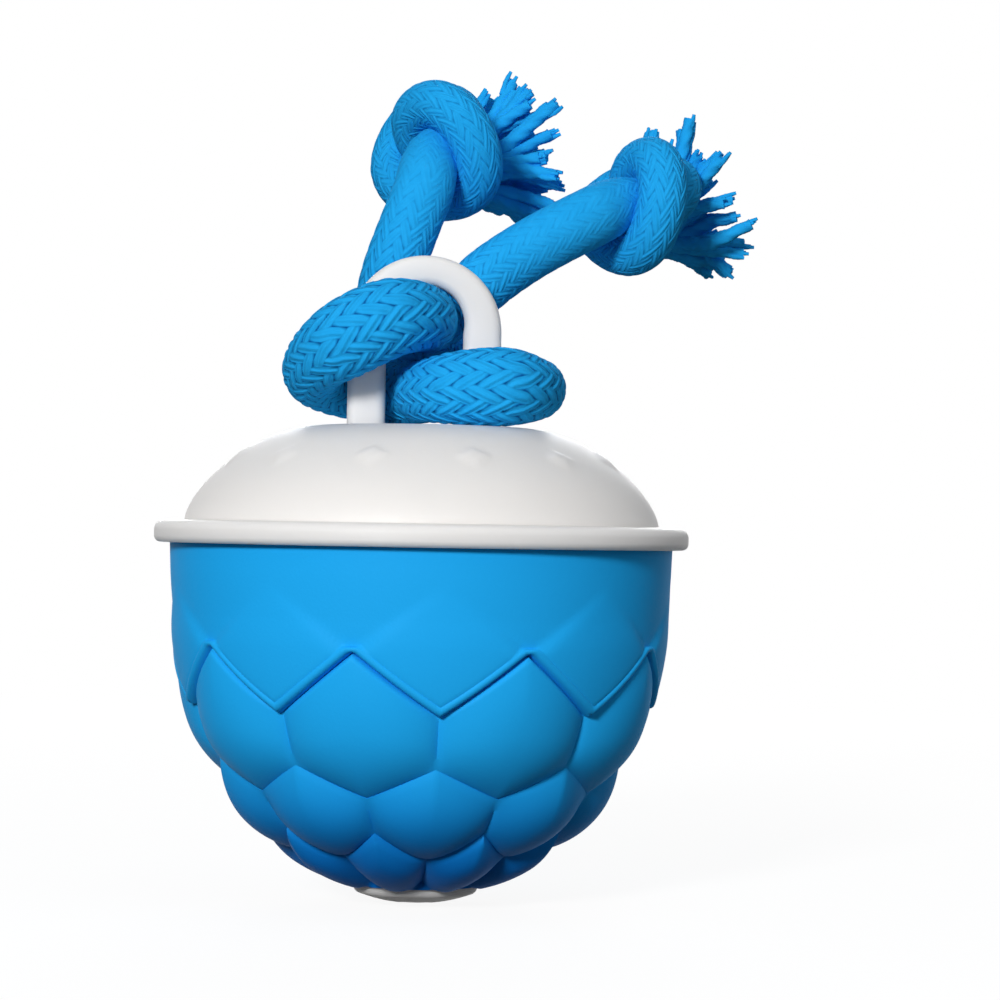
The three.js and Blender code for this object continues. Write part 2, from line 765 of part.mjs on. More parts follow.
const planetPhase = planetAngle + Math.PI - Math.PI / planetTeeth;
const compound = combine(slab(gearShape(wheelTeeth, wheelModule, wheelAngle, 2), wheelBottom, wheelTop), {
  joined: [
    slab(gearShape(planetTeeth, sunModule, planetPhase, 3), wheelTop - joinLap, sunTop - seatGap),
    rod(gearPinRadius + gearHubWall, bridgeTop + partingGap, wheelBottom + joinLap, 16),
  ],
  cut: [rod(gearPinRadius + runningGap, bridgeTop, sunTop + cutOver, 16)],
});
addPiece("compound_gear", at(compound, planet), gearPlastic);

const pinionPhase = wheelAngle + Math.PI - Math.PI / pinionTeeth;
const pinionTeethShape = gearShape(pinionTeeth, wheelModule, pinionPhase, 3);
const pinionBore = rod(shaftRadius + pinGap / 2, wheelBottom - cutOver, wheelTop + cutOver, 12);
const pinionBlank = slab(pinionTeethShape, wheelBottom - pinionLap, wheelTop + pinionLap);
const pinion = combine(pinionBlank, { cut: [pinionBore] });
addPiece("motor_pinion", at(pinion, motor), bronze);

// Motor with its front boss and a bore for the shaft
const motorTop = bridgeBottom - pinGap;
const motorBottom = motorTop - motorLength;
const shaftBottom = motorBottom + motorLength / 2;
addPiece("motor_shaft", at(rod(shaftRadius, shaftBottom, shaftTop, 12), motor), steel);
const motorProfile = [
  [0, motorBottom],
  [motorRadius, motorBottom],
  [motorRadius, motorTop],
  [motorBoss, motorTop],
  [motorBoss, motorTop + motorBossHeight],
  [0, motorTop + motorBossHeight],
];
const motorBoreTop = motorTop + motorBossHeight + cutOver;
const motorBore = rod(shaftRadius + runningGap, shaftBottom - tipGap, motorBoreTop, 12);
addPiece("motor_can", at(combine(turned(motorProfile, 28), { cut: [motorBore] }), motor), steel);

// Hub: the foot that shows below the sleeve, with a cup for the board
function stadium(width, height) {
  const shape = new THREE.Shape();
  const run = (width - height) / 2;
  shape.absarc(run, 0, height / 2, -Math.PI / 2, Math.PI / 2, false);
  shape.absarc(-run, 0, height / 2, Math.PI / 2, (3 * Math.PI) / 2, false);
  return shape;
}

const hubScrewPlaces = [90, 210, 330].map((degrees) =>
  around(hubScrewDistance, THREE.MathUtils.degToRad(degrees)),
);

function coreHub() {
  const profile = [[0, 0], [footRadius, 0]];
  const steps = 3;
  for (let i = 1; i <= steps; i += 1) {
    const angle = (i / steps) * (Math.PI / 2);
    const reach = (hubRadius - footRadius) * Math.sin(angle);
    profile.push([footRadius + reach, hubRounding * (1 - Math.cos(angle))]);
  }
  profile.push([hubRadius, hubFlangeBottom], [hubFlange, hubFlangeBottom], [hubFlange, hubTop]);
  const cup = boardRadius + seatGap;
  profile.push([cup, hubTop], [cup, boardLedge], [hubBore, boardLedge], [hubBore, hubFloor], [0, hubFloor]);
  const slot = stadium(socketWidth + 2 * socketClear, socketHeight + 2 * socketClear);
  const cut = [
    at(rod(buttonRadius + nestGap, -cutOver, hubFloor + cutOver, 24), [0, buttonY]),
    at(slab(slot, -cutOver, hubFloor + cutOver, 6), [0, socketY]),
  ];
  for (const place of hubScrewPlaces) {
    cut.push(at(rod(screwHole, hubFlangeBottom + hubScrewTip - tipGap, hubTop + cutOver, 12), place));
  }
  return combine(turned(profile, 32), { cut });
}
addPiece("core_hub", coreHub(), whitePlastic);
addPiece("circuit_board", rod(boardRadius, boardBottom, boardTop, 24), boardGreen);
const chipBottom = boardTop + seatGap;
const chip = block(chipWidth, chipWidth, chipBottom, chipBottom + chipHeight, 0, chipY);
addPiece("controller_chip", chip, darkPlastic);
const buttonSeat = hubFloor + seatGap;
const buttonTop = buttonSeat + buttonFlangeHeight;
const plungerTop = buttonTop + plungerHeight;
const underBoard = boardBottom - seatGap;
const switchBody = block(switchWidth, switchWidth, plungerTop + switchGap, underBoard, 0, buttonY);
addPiece("tact_switch", switchBody, darkPlastic);
const [lampWidth, lampDepth, lampHeight] = lampSize;
const lamp = block(lampWidth, lampDepth, underBoard - lampHeight, underBoard, ...lampPlace);
addPiece("charge_led", lamp, lampClear);

function usbSocket() {
  const outside = slab(stadium(socketWidth, socketHeight), socketMouth, underBoard, 6);
  const inside = stadium(socketWidth - 2 * socketWall, socketHeight - 2 * socketWall);
  const hollow = slab(inside, socketMouth - cutOver, underBoard - cutOver, 6);
  const tongue = block(tongueWidth, tongueThickness, socketMouth + tipGap, underBoard - joinLap, 0, 0);
  const body = toSolid(outside).subtract(toSolid(hollow)).add(toSolid(tongue));
  return toGeometry(body).translate(0, socketY, 0);
}
addPiece("usb_socket", usbSocket(), steel);

const buttonProfile = [
  [0, buttonRecess],
  [buttonRadius - buttonChamfer, buttonRecess],
  [buttonRadius, buttonRecess + buttonChamfer],
  [buttonRadius, buttonSeat],
  [buttonFlange, buttonSeat],
  [buttonFlange, buttonTop],
  [plungerRadius, buttonTop],
  [plungerRadius, plungerTop],
  [0, plungerTop],
];
addPiece("power_button", at(turned(buttonProfile, 16), [0, buttonY]), darkPlastic);

// Chassis: floor, neck into the hub, battery saddles and pillars
const cellHollow = batteryRadius + nestGap;

function saddle(x) {
  const shape = new THREE.Shape();
  const reach = batteryRadius + saddleWall;
  const lift = floorTop - joinLap - batteryAxis;
  shape.moveTo(-reach, lift);
  shape.lineTo(reach, lift);
  shape.lineTo(reach, 0);
  shape.lineTo(cellHollow, 0);
  shape.absarc(0, 0, cellHollow, 0, -Math.PI, true);
  shape.lineTo(-reach, 0);
  return upright(shape, saddleWidth, 8).translate(x, batteryY, batteryAxis);
}

// Radius of the bowl's inside at a height
function bowlInside(z) {
  const fall = (sleeveShoulder - z) / (bowlDrop - bowlWall);
  return (bowlOuter - bowlWall) * Math.sqrt(1 - fall * fall);
}

function coreChassis() {
  const neck = ring(neckBore, boardRadius - pinGap, boardTop + seatGap, floorBottom + joinLap, 24);
  const joined = [neck, saddle(saddleX), saddle(-saddleX)];
  const cut = [at(rod(wireHoleRadius, floorBottom - cutOver, floorTop + cutOver, 20), [0, socketY])];
  for (const place of pillars) {
    joined.push(at(rod(pillarRadius, floorTop - joinLap, bridgeBottom - pinGap, 14), place));
    cut.push(at(rod(screwHole, bridgeBottom - bridgeScrewReach - tipGap, bridgeBottom + cutOver, 10), place));
  }
  const headSeat = floorTop - screwHeadHeight - seatGap;
  for (const place of hubScrewPlaces) {
    cut.push(at(rod(screwHole, floorBottom - cutOver, floorTop + cutOver, 12), place));
    cut.push(at(rod(screwHead + runningGap, headSeat, floorTop + cutOver, 12), place));
  }
  const floorRadius = bowlInside(floorBottom) - floorGap;
  return combine(rod(floorRadius, floorBottom, floorTop, 32), { joined, cut });
}
addPiece("core_chassis", coreChassis(), darkPlastic);
hubScrewPlaces.forEach((place, i) => {
  const headBottom = floorTop - screwHeadHeight - pinGap;
  screw(`hub_screw_${i + 1}`, place, headBottom, hubFlangeBottom + hubScrewTip, -1);
});

const cell = rod(batteryRadius, -batteryLength / 2, batteryLength / 2, 24).rotateY(Math.PI / 2);
addPiece("battery_cell", cell.translate(0, batteryY, batteryAxis), cellWrap);

function batteryStrap() {
  const outer = cellHollow + strapThickness;
  const foot = floorTop + runningGap - batteryAxis;
  const shape = new THREE.Shape();
  shape.moveTo(outer, foot);
  shape.lineTo(outer, 0);
  shape.absarc(0, 0, outer, 0, Math.PI, false);
  shape.lineTo(-outer, foot);
  shape.lineTo(-cellHollow, foot);
  shape.lineTo(-cellHollow, 0);
  shape.absarc(0, 0, cellHollow, Math.PI, 0, true);
  shape.lineTo(cellHollow, foot);
  return upright(shape, strapWidth, 10).translate(0, batteryY, batteryAxis);
}
addPiece("battery_strap", batteryStrap(), darkPlastic);

// Bridge across the pillars: carries the axle, the gear pin, the motor and the counterweight
function bridgePlate() {
  const bore = motorRadius + runningGap;
  const socketBottom = bridgeBottom - motorSocketDepth;
  const socket = ring(bore, bore + motorSocketWall, socketBottom, bridgeBottom + joinLap, 28);
  const joined = [at(socket, motor), rod(axleBoss, bridgeTop - joinLap, axleShoulder, 20)];
  const under = bridgeBottom - cutOver;
  const over = bridgeTop + cutOver;
  const cut = [
    rod(axleRadius + pinGap, under, axleShoulder + cutOver, 20),
    at(rod(motorBoss + seatGap, under, over, 20), motor),
    at(rod(gearPinRadius + pinGap, under, over, 16), planet),
  ];
  for (const place of [...pillars, ...weightScrews]) {
    cut.push(at(rod(screwHole, under, over, 10), place));
  }
  return combine(rod(bridgeRadius, bridgeBottom, bridgeTop, 32), { joined, cut });
}
addPiece("bridge_plate", bridgePlate(), darkPlastic);
pillars.forEach((place, i) => {
  screw(`bridge_screw_${i + 1}`, place, bridgeTop + pinGap, bridgeBottom - bridgeScrewReach, -1);
});
addPiece("axle", rod(axleRadius, bridgeBottom + partingGap, axleTop, 20), steel);
const washerBottom = axleShoulder + pinGap;
const washer = ring(axleRadius + pinGap, axleBoss + washerLip, washerBottom, sunBottom - seatGap, 20);
addPiece("thrust_washer", washer, bronze);
addPiece("gear_pin", at(rod(gearPinRadius, bridgeBottom + partingGap, gearPinTop, 16), planet), steel);
const clip = ring(gearPinRadius + pinGap, gearPinRadius + clipReach, sunTop, sunTop + clipThickness, 16);
addPiece("gear_clip", at(clip, planet), steel);

function counterweight() {
  const shape = new THREE.Shape();
  const start = Math.PI / 2 - weightHalfAngle;
  const end = Math.PI / 2 + weightHalfAngle;
  shape.absarc(0, 0, weightOuter, start, end, false);
  shape.absarc(0, 0, weightInner, end, start, true);
  const top = bridgeBottom - pinGap;
  const holeBottom = bridgeBottom - bridgeScrewReach - tipGap;
  const cut = weightScrews.map((place) => at(rod(screwHole, holeBottom, top + cutOver, 10), place));
  return combine(slab(shape, top - weightHeight, top, 14), { cut });
}
addPiece("counterweight", counterweight(), steel);
weightScrews.forEach((place, i) => {
  screw(`weight_screw_${i + 1}`, place, bridgeTop + pinGap, bridgeBottom - bridgeScrewReach, -1);
});

// Leads from the motor and the cell down through the floor to the board
const leadEnd = boardTop + nestGap;
const cellEnd = batteryLength / 2 + partingGap;
[-1, 1].forEach((side, i) => {
  const motorLead = [
    [side * motorLeadX, motor[1], motorBottom - nestGap, leadRadius],
    [side * motorLeadX, motor[1], motorBottom - motorLeadDrop, leadRadius],
    [side * motorLeadBend[0], motorLeadBend[1], floorTop + motorLeadRise, leadRadius],
    [side * motorLeadPass[0], motorLeadPass[1], floorBottom, leadRadius],
    [side * motorLeadPass[0], motorLeadPass[1], leadEnd, leadRadius],
  ];
  const [bendOut, bendIn, bendDown] = cellLeadBend;
  const [fallOut, fallY, fallRise] = cellLeadFall;
  const cellLow = batteryAxis - cellLeadDrop;
  const [passX, passY] = cellLeadTurns[cellLeadTurns.length - 1];
  const cellLead = [
    [side * cellEnd, batteryY, cellLow, leadRadius],
    [side * (cellEnd + bendOut), batteryY - bendIn, cellLow - bendDown, leadRadius],
    [side * (cellEnd + fallOut), fallY, floorTop + fallRise, leadRadius],
    ...cellLeadTurns.map(([x, y, rise]) => [side * x, y, floorTop + rise, leadRadius]),
    [side * passX, passY, leadEnd, leadRadius],
  ];
  const colour = side < 0 ? blackWire : redWire;
  addPiece(`motor_lead_${i + 1}`, tube(motorLead, 5, 1).geometry, colour);
  addPiece(`battery_lead_${i + 1}`, tube(cellLead, 5, 1).geometry, colour);
});

// Rope: knot, tail, hitch, tail and knot in one unbroken tube
function knotPoints({ centre, entry, exit }) {
  const into = new THREE.Vector3(...entry).normalize();
  const out = new THREE.Vector3(...exit).normalize();
  const up = into.clone().add(out).normalize();
  const along = out.clone().sub(into).normalize();
  const across = up.clone().cross(along);
  const turnedOver = halfKnot.map(([x, y, z]) => [x, -y, -z]).reverse();
  return [...halfKnot, ...turnedOver.slice(0, -1)].map(([x, y, z], i) => {
    const point = new THREE.Vector3(...centre);
    point.addScaledVector(along, x * knotScale);
    point.addScaledVector(across, y * knotScale);
    point.addScaledVector(up, z * knotScale);
    return [...point.toArray(), knotLead[i] ?? knotRope];
  });
}

// The rope's end leaves its knot half way between the knot's exit and the tassel's aim
function leaving({ exit, aim }) {
  return new THREE.Vector3(...exit).normalize().add(new THREE.Vector3(...aim).normalize()).normalize();
}

function ropeEndPoint(knot, points) {
  const last = new THREE.Vector3(...points[points.length - 1]);
  return [...last.addScaledVector(leaving(knot), ropeStub).toArray(), ropeEnd];
}
const leftPoints = knotPoints(leftKnot);
const rightPoints = knotPoints(rightKnot);
const leftEnd = ropeEndPoint(leftKnot, leftPoints);
const rightEnd = ropeEndPoint(rightKnot, rightPoints);
const ropeRoute = [leftEnd, ...[...leftPoints].reverse(), ...hitch, ...rightPoints, rightEnd];
const rope = tube(ropeRoute, ropeSides, ropeStepsPerPoint);
addPiece("rope", rope.geometry, blueRope);

// Least gap between stretches of the rope, apart from neighbours along it
function leastGap(line) {
  const travelled = [0];
  for (let i = 1; i < line.length; i += 1) {
    travelled.push(travelled[i - 1] + line[i].centre.distanceTo(line[i - 1].centre));
  }
  let least = Infinity;
  for (let i = 0; i < line.length; i += 1) {
    for (let j = i + 1; j < line.length; j += 1) {
      const reach = line[i].radius + line[j].radius;
      if (travelled[j] - travelled[i] > 1.6 * reach) {
        least = Math.min(least, line[i].centre.distanceTo(line[j].centre) - reach);
      }
    }
  }
  return { least, length: travelled[travelled.length - 1] };
}
const measured = leastGap(rope.line);
console.log(`rope: least gap ${measured.least.toFixed(2)} mm, length ${measured.length.toFixed(0)} mm`);

// Tassels: strands that leave a slice of the rope's end and fan out sideways
function tassel(knot, end) {
  const out = leaving(knot);
  const away = new THREE.Vector3(...knot.aim).normalize();
  const swing = new THREE.Quaternion().setFromUnitVectors(out, away);
  const side = new THREE.Vector3(0, 0, 1).cross(out).normalize();
  const top = out.clone().cross(side);
  const root = new THREE.Vector3(...end).addScaledVector(out, partingGap);
  const slicePoint = (step) => [...root.clone().addScaledVector(out, step).toArray(), ropeEnd];
  const slice = [slicePoint(0), slicePoint(tasselSlice)];
  const strands = [];
  for (let i = 0; i < tasselStrands; i += 1) {
    const share = Math.sqrt((i + 0.5) / tasselStrands);
    const angle = i * strandTurn;
    const fan = side.clone().multiplyScalar(Math.cos(angle)).addScaledVector(top, Math.sin(angle));
    const start = root.clone().addScaledVector(out, tasselSlice / 2);
    start.addScaledVector(fan, share * (ropeEnd - strandRadius));
    const bend = start.clone().addScaledVector(out, tasselBend);
    const tip = bend.clone().addScaledVector(away, knot.length);
    tip.addScaledVector(fan.applyQuaternion(swing), share * tasselSpread);
    const curve = new THREE.QuadraticBezierCurve3(start, bend, tip);
    const points = curve.getPoints(strandSteps).map((point) => [...point.toArray(), strandRadius]);
    strands.push(tube(points, 4, 1).geometry);
  }
  return combine(tube(slice, ropeSides, 1).geometry, { joined: strands });
}
addPiece("tassel_left", tassel(leftKnot, leftEnd), blueRope);
addPiece("tassel_right", tassel(rightKnot, rightEnd), blueRope);

export default toy;
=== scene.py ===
import json
import math
import random

import bpy
import numpy as np
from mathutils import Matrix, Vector


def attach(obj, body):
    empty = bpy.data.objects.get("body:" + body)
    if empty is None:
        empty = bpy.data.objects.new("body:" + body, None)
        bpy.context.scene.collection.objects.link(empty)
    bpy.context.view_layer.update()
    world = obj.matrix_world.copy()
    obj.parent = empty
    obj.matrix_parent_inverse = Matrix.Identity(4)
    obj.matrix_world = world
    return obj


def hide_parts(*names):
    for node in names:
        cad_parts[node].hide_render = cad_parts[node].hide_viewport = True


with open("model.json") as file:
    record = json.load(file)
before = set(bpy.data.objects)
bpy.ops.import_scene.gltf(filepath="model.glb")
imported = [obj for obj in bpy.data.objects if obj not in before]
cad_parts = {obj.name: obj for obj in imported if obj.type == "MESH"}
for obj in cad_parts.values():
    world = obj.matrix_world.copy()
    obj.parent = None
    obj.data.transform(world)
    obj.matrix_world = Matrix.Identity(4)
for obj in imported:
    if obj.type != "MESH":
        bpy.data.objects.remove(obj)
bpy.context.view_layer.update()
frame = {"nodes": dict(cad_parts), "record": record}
scene = bpy.context.scene
mm = 0.001

camera = {
    "distance": 0.52,
    "height": 0.0593,
    "width": 0.1576,  # of the view, at the toy's axis
    "shift": (0.0785, 0.025),
    "roll": -1.0,
    "sensor": 36,
    "nearest": 0.01,
}
lens = bpy.data.cameras.new("photoCamera")
lens.sensor_width = camera["sensor"]
lens.lens = lens.sensor_width * camera["distance"] / camera["width"]
lens.shift_x, lens.shift_y = camera["shift"]
lens.clip_start = camera["nearest"]
eye = bpy.data.objects.new("photoCamera", lens)
eye.location = (0, -camera["distance"], camera["height"])
eye.rotation_euler = (math.radians(90), math.radians(camera["roll"]), 0)
scene.collection.objects.link(eye)
scene.camera = eye
print("camera set")


def addNode(tree, kind, wires=None, **settings):
    node = tree.nodes.new(kind)
    for key, value in settings.items():
        setattr(node, key, value)
    for key, value in (wires or {}).items():
        if isinstance(value, bpy.types.NodeSocket):
            tree.links.new(value, node.inputs[key])
        else:
            node.inputs[key].default_value = value
    return node


def calc(tree, operation, first, second=0.0, clamped=False):
    wires = {0: first, 1: second}
    return addNode(tree, "ShaderNodeMath", wires, operation=operation, use_clamp=clamped).outputs[0]


def newTree(name, kind, inputs, outputs):
    tree = bpy.data.node_groups.new(name, kind)
    for label, socketType, value in inputs:
        socket = tree.interface.new_socket(label, in_out="INPUT", socket_type="NodeSocket" + socketType)
        if value is not None:
            socket.default_value = value
    for label, socketType in outputs:
        tree.interface.new_socket(label, in_out="OUTPUT", socket_type="NodeSocket" + socketType)
    return tree, tree.nodes.new("NodeGroupInput").outputs


def addPiece(name, mesh):
    piece = bpy.data.objects.new(name, mesh)
    scene.collection.objects.link(piece)
    return piece


def growPiece(name, base, tree, values):
    modifier = base.modifiers.new(tree.name, "NODES")
    modifier.node_group = tree
    for item in tree.interface.items_tree:
        if item.in_out == "INPUT" and item.name in values:
            modifier[item.identifier] = values[item.name]
    graph = bpy.context.evaluated_depsgraph_get()
    mesh = bpy.data.meshes.new_from_object(base.evaluated_get(graph))
    bpy.data.objects.remove(base)
    return addPiece(name, mesh)


def lineMesh(name, lines):
    points = [tuple(point[:3] * mm) for line in lines for point in line]
    edges, start = [], 0
    for line in lines:
        edges += [(start + i, start + i + 1) for i in range(len(line) - 1)]
        start += len(line)
    mesh = bpy.data.meshes.new(name)
    mesh.from_pydata(points, edges, [])
    thickness = mesh.attributes.new("thickness", "FLOAT", "POINT")
    thickness.data.foreach_set("value", [point[3] * mm for line in lines for point in line])
    return mesh


def smoothLine(points, step):
    knots = np.array(points, float)
    knots = np.vstack([2 * knots[0] - knots[1], knots, 2 * knots[-1] - knots[-2]])
    gaps = np.linalg.norm(np.diff(knots[:, :3], axis=0), axis=1)
    times = np.concatenate([[0], np.cumsum(np.sqrt(gaps))])
    out = []
    for i in range(1, len(knots) - 2):
        count = max(2, int(gaps[i] / step))
        t = np.linspace(times[i], times[i + 1], count, endpoint=False)[:, None]
        level = [knots[i - 1], knots[i], knots[i + 1], knots[i + 2]]
        for depth in (1, 2, 3):  # each level blends neighbours of the last
            level = [
                (a * (times[i + j + depth - 1] - t) + b * (t - times[i + j - 1]))
                / (times[i + j + depth - 1] - times[i + j - 1])
                for j, (a, b) in enumerate(zip(level, level[1:]))
            ]
        out.append(level[0])
    return np.vstack(out + [knots[-2:-1]])


# Braid: how far strands swing over and under, how round they are, their mean height
braid = {"swing": 0.7, "crown": 3.2, "middle": 0.6}


def braidNodes(tree, around, along):
    first = calc(tree, "ADD", around, along)
    second = calc(tree, "SUBTRACT", around, along)
    heights, yarns = [], []
    for mine, other, over in ((first, second, braid["swing"]), (second, first, -braid["swing"])):
        across = calc(tree, "FRACT", mine)
        edge = calc(tree, "ABSOLUTE", calc(tree, "SUBTRACT", calc(tree, "MULTIPLY", across, 2.0), 1.0))
        crown = calc(tree, "SUBTRACT", 1.0, calc(tree, "POWER", edge, braid["crown"]))
        phase = calc(tree, "ADD", other, calc(tree, "FLOOR", mine))
        swing = calc(tree, "SINE", calc(tree, "MULTIPLY", phase, math.pi / 2))
        lift = calc(tree, "ADD", calc(tree, "MULTIPLY", swing, over), 0.5, clamped=True)
        shares = [calc(tree, "MULTIPLY", part, 0.5) for part in (crown, lift)]
        heights.append(calc(tree, "ADD", *shares))
        yarns.append(calc(tree, "COSINE", calc(tree, "MULTIPLY", across, 4 * math.pi)))
    onTop = calc(tree, "GREATER_THAN", *heights)
    relief = calc(tree, "MAXIMUM", *heights)
    step = calc(tree, "MULTIPLY", calc(tree, "SUBTRACT", *yarns), onTop)
    return relief, calc(tree, "ADD", yarns[1], step)


# Shader groups shared by the materials
def driftGroup():
    inputs = [
        ("Light", "Color", (0.8, 0.8, 0.8, 1)),
        ("Dark", "Color", (0.7, 0.7, 0.7, 1)),
        ("Low", "Float", 0.3),
        ("High", "Float", 0.4),
        ("Scale", "Float", 60.0),
        ("Grain", "Float", 900.0),
    ]
    outputs = [("Colour", "Color"), ("Roughness", "Float"), ("Height", "Float")]
    tree, given = newTree("surfaceDrift", "ShaderNodeTree", inputs, outputs)
    place = addNode(tree, "ShaderNodeTexCoord").outputs["Object"]
    broad = addNode(tree, "ShaderNodeTexNoise", {"Vector": place, "Scale": given["Scale"], "Detail": 3.0})
    fine = addNode(tree, "ShaderNodeTexNoise", {"Vector": place, "Scale": given["Grain"], "Detail": 2.0})
    wires = {0: broad.outputs["Fac"], 6: given["Dark"], 7: given["Light"]}
    colour = addNode(tree, "ShaderNodeMix", wires, data_type="RGBA").outputs[2]
    wires = {"Value": fine.outputs["Fac"], "To Min": given["Low"], "To Max": given["High"]}
    roughness = addNode(tree, "ShaderNodeMapRange", wires).outputs["Result"]
    wires = {"Colour": colour, "Roughness": roughness, "Height": fine.outputs["Fac"]}
    addNode(tree, "NodeGroupOutput", wires)
    return tree


def yarnGroup():
    inputs = [("Strands", "Float", rope["strands"]), ("Lay", "Float", rope["lay"])]
    tree, given = newTree("braidYarn", "ShaderNodeTree", inputs, [("Relief", "Float"), ("Yarn", "Float")])
    chart = addNode(tree, "ShaderNodeUVMap", uv_map="braidMap").outputs["UV"]
    parts = addNode(tree, "ShaderNodeSeparateXYZ", {"Vector": chart}).outputs
    around = calc(tree, "MULTIPLY", parts["X"], given["Strands"])
    along = calc(tree, "DIVIDE", parts["Y"], given["Lay"])
    relief, yarn = braidNodes(tree, around, along)
    addNode(tree, "NodeGroupOutput", {"Relief": relief, "Yarn": yarn})
    return tree


drift = driftGroup()
grainDepth = 0.0002


def newMaterial(name, look):
    material = bpy.data.materials.new(name)
    material.use_nodes = True
    tree = material.node_tree
    shader = tree.nodes["Principled BSDF"]
    group = addNode(tree, "ShaderNodeGroup", node_tree=drift)
    for key, value in zip(("Light", "Dark", "Low", "High", "Scale", "Grain"), look["drift"]):
        group.inputs[key].default_value = (*value, 1) if isinstance(value, tuple) else value
    for key, value in look.get("shader", {}).items():
        shader.inputs[key].default_value = value
    wires = {"Strength": look["bump"], "Distance": grainDepth, "Height": group.outputs["Height"]}
    bump = addNode(tree, "ShaderNodeBump", wires)
    tree.links.new(group.outputs["Colour"], shader.inputs["Base Color"])
    tree.links.new(group.outputs["Roughness"], shader.inputs["Roughness"])
    tree.links.new(bump.outputs["Normal"], shader.inputs["Normal"])
    return material


# Drift: light and dark colour, least and most roughness, scales of the broad and the fine noise
looks = {
    "white_plastic": {
        "drift": ((0.8, 0.775, 0.748), (0.785, 0.76, 0.733), 0.45, 0.55, 35.0, 1500.0),
        "bump": 0.05,
        "shader": {
            "Specular IOR Level": 0.3,
            "Subsurface Weight": 0.6,
            "Subsurface Radius": (1.0, 0.97, 0.94),
            "Subsurface Scale": 0.005,
        },
    },
    "blue_rubber": {
        "drift": ((0.014, 0.4, 0.87), (0.012, 0.385, 0.85), 0.5, 0.6, 30.0, 2200.0),
        "bump": 0.12,
        "shader": {"Specular IOR Level": 0.04},
    },
    "blue_rope": {
        "drift": ((0.018, 0.41, 0.87), (0.01, 0.34, 0.77), 0.75, 0.95, 500.0, 5000.0),
        "bump": 0.4,
        "shader": {"Specular IOR Level": 0.05},
    },
    "grey_seal": {
        "drift": ((0.2, 0.2, 0.21), (0.16, 0.16, 0.17), 0.6, 0.75, 40.0, 1800.0),
        "bump": 0.1,
    },
    "dark_plastic": {
        "drift": ((0.035, 0.035, 0.04), (0.025, 0.025, 0.03), 0.4, 0.55, 60.0, 1800.0),
        "bump": 0.1,
    },
    "gear_plastic": {
        "drift": ((0.76, 0.74, 0.66), (0.7, 0.68, 0.6), 0.35, 0.45, 80.0, 1500.0),
        "bump": 0.05,
    },
    "steel": {
        "drift": ((0.62, 0.62, 0.63), (0.5, 0.5, 0.52), 0.22, 0.36, 120.0, 2500.0),
        "bump": 0.06,
        "shader": {"Metallic": 1.0},
    },
    "bronze": {
        "drift": ((0.6, 0.4, 0.2), (0.48, 0.31, 0.15), 0.32, 0.5, 150.0, 3000.0),
        "bump": 0.12,
        "shader": {"Metallic": 1.0},
    },
    "board_green": {
        "drift": ((0.02, 0.2, 0.07), (0.01, 0.14, 0.05), 0.3, 0.42, 300.0, 2500.0),
        "bump": 0.08,
        "shader": {"Coat Weight": 0.4},
    },
    "lamp_clear": {
        "drift": ((0.78, 0.85, 0.76), (0.7, 0.8, 0.7), 0.1, 0.18, 200.0, 2000.0),
        "bump": 0.02,
        "shader": {"Coat Weight": 0.6},
    },
    "cell_wrap": {
        "drift": ((0.05, 0.25, 0.4), (0.04, 0.2, 0.34), 0.25, 0.35, 60.0, 1200.0),
        "bump": 0.05,
    },
    "black_wire": {
        "drift": ((0.03, 0.03, 0.03), (0.02, 0.02, 0.02), 0.4, 0.5, 200.0, 2000.0),
        "bump": 0.05,
    },
    "red_wire": {
        "drift": ((0.55, 0.03, 0.02), (0.45, 0.02, 0.015), 0.4, 0.5, 200.0, 2000.0),
        "bump": 0.05,
    },
}
materials = {name: newMaterial(name, look) for name, look in looks.items()}

# Rope: route points in millimetres with the rope's radius there
rope = {
    "strands": 16.0,
    "lay": 2.6 * mm,
    "relief": 0.1,
    "columns": 137,
    "step": 0.3 * mm,  # from ring to ring of the skin
    "spacing": 0.3,  # of the line's points
    "stride": 6,  # points of the line to one of the cord's path
    "weld": 1e-6,
    "depths": [(66, 1.0), (86, 0.2), (100, 0.2), (112, 0.55)],  # run from the seam, braid's share
    "seam": (0, 0, 80.3),
    # Painted shade: dark blue mixed into the grooves between the braid's strands
    "dark": (0.001, 0.08, 0.3),
    "grooveShadeSpan": (0.75, 0.4),  # braid's heights where the painted groove shade starts and where it is full
    "yarn": 0.5,  # strength of the fine lines
    "grow": 0.15,
    # Lift and swell under the loop's arch, by place in the hitch
    "pressed": {17: (0.4, 0.4), 18: (0.6, 0.5), 19: (0.6, 0.4)},
}
hitch = [
    [-3.8, 9.6, 104.4, 4.7],
    [-5.6, 10.8, 98.4, 4.8],
    [-5.9, 13.6, 93.4, 4.9],
    [-2.6, 16.0, 89.6, 4.9],
    [4.8, 14.8, 84.4, 4.9],
    [11.6, 10.2, 82.6, 5.0],
    [16.9, 4.4, 81.4, 4.6],
    [17.0, -3.2, 80.9, 4.7],
    [12.4, -9.7, 80.9, 5.8],
    [5.2, -9.0, 80.6, 5.4],
    [0.4, -3.0, 80.3, 4.6],
    [-0.4, 3.0, 80.3, 4.6],
    [-5.2, 8.6, 80.6, 4.9],
    [-11.8, 8.8, 81.4, 5.0],
    [-16.9, 3.4, 82.4, 4.6],
    [-17.0, -3.2, 84.4, 4.7],
    [-12.5, -9.5, 87.7, 5.8],
    [-5.4, -9.2, 90.9, 5.4],
    [-0.5, -3.4, 91.2, 4.5],
    [0.4, 2.6, 91.0, 4.4],
    [4.4, 8.0, 93.9, 4.6],
    [10.2, 9.8, 99.3, 4.7],
    [17.3, 11.2, 104.3, 4.7],
]
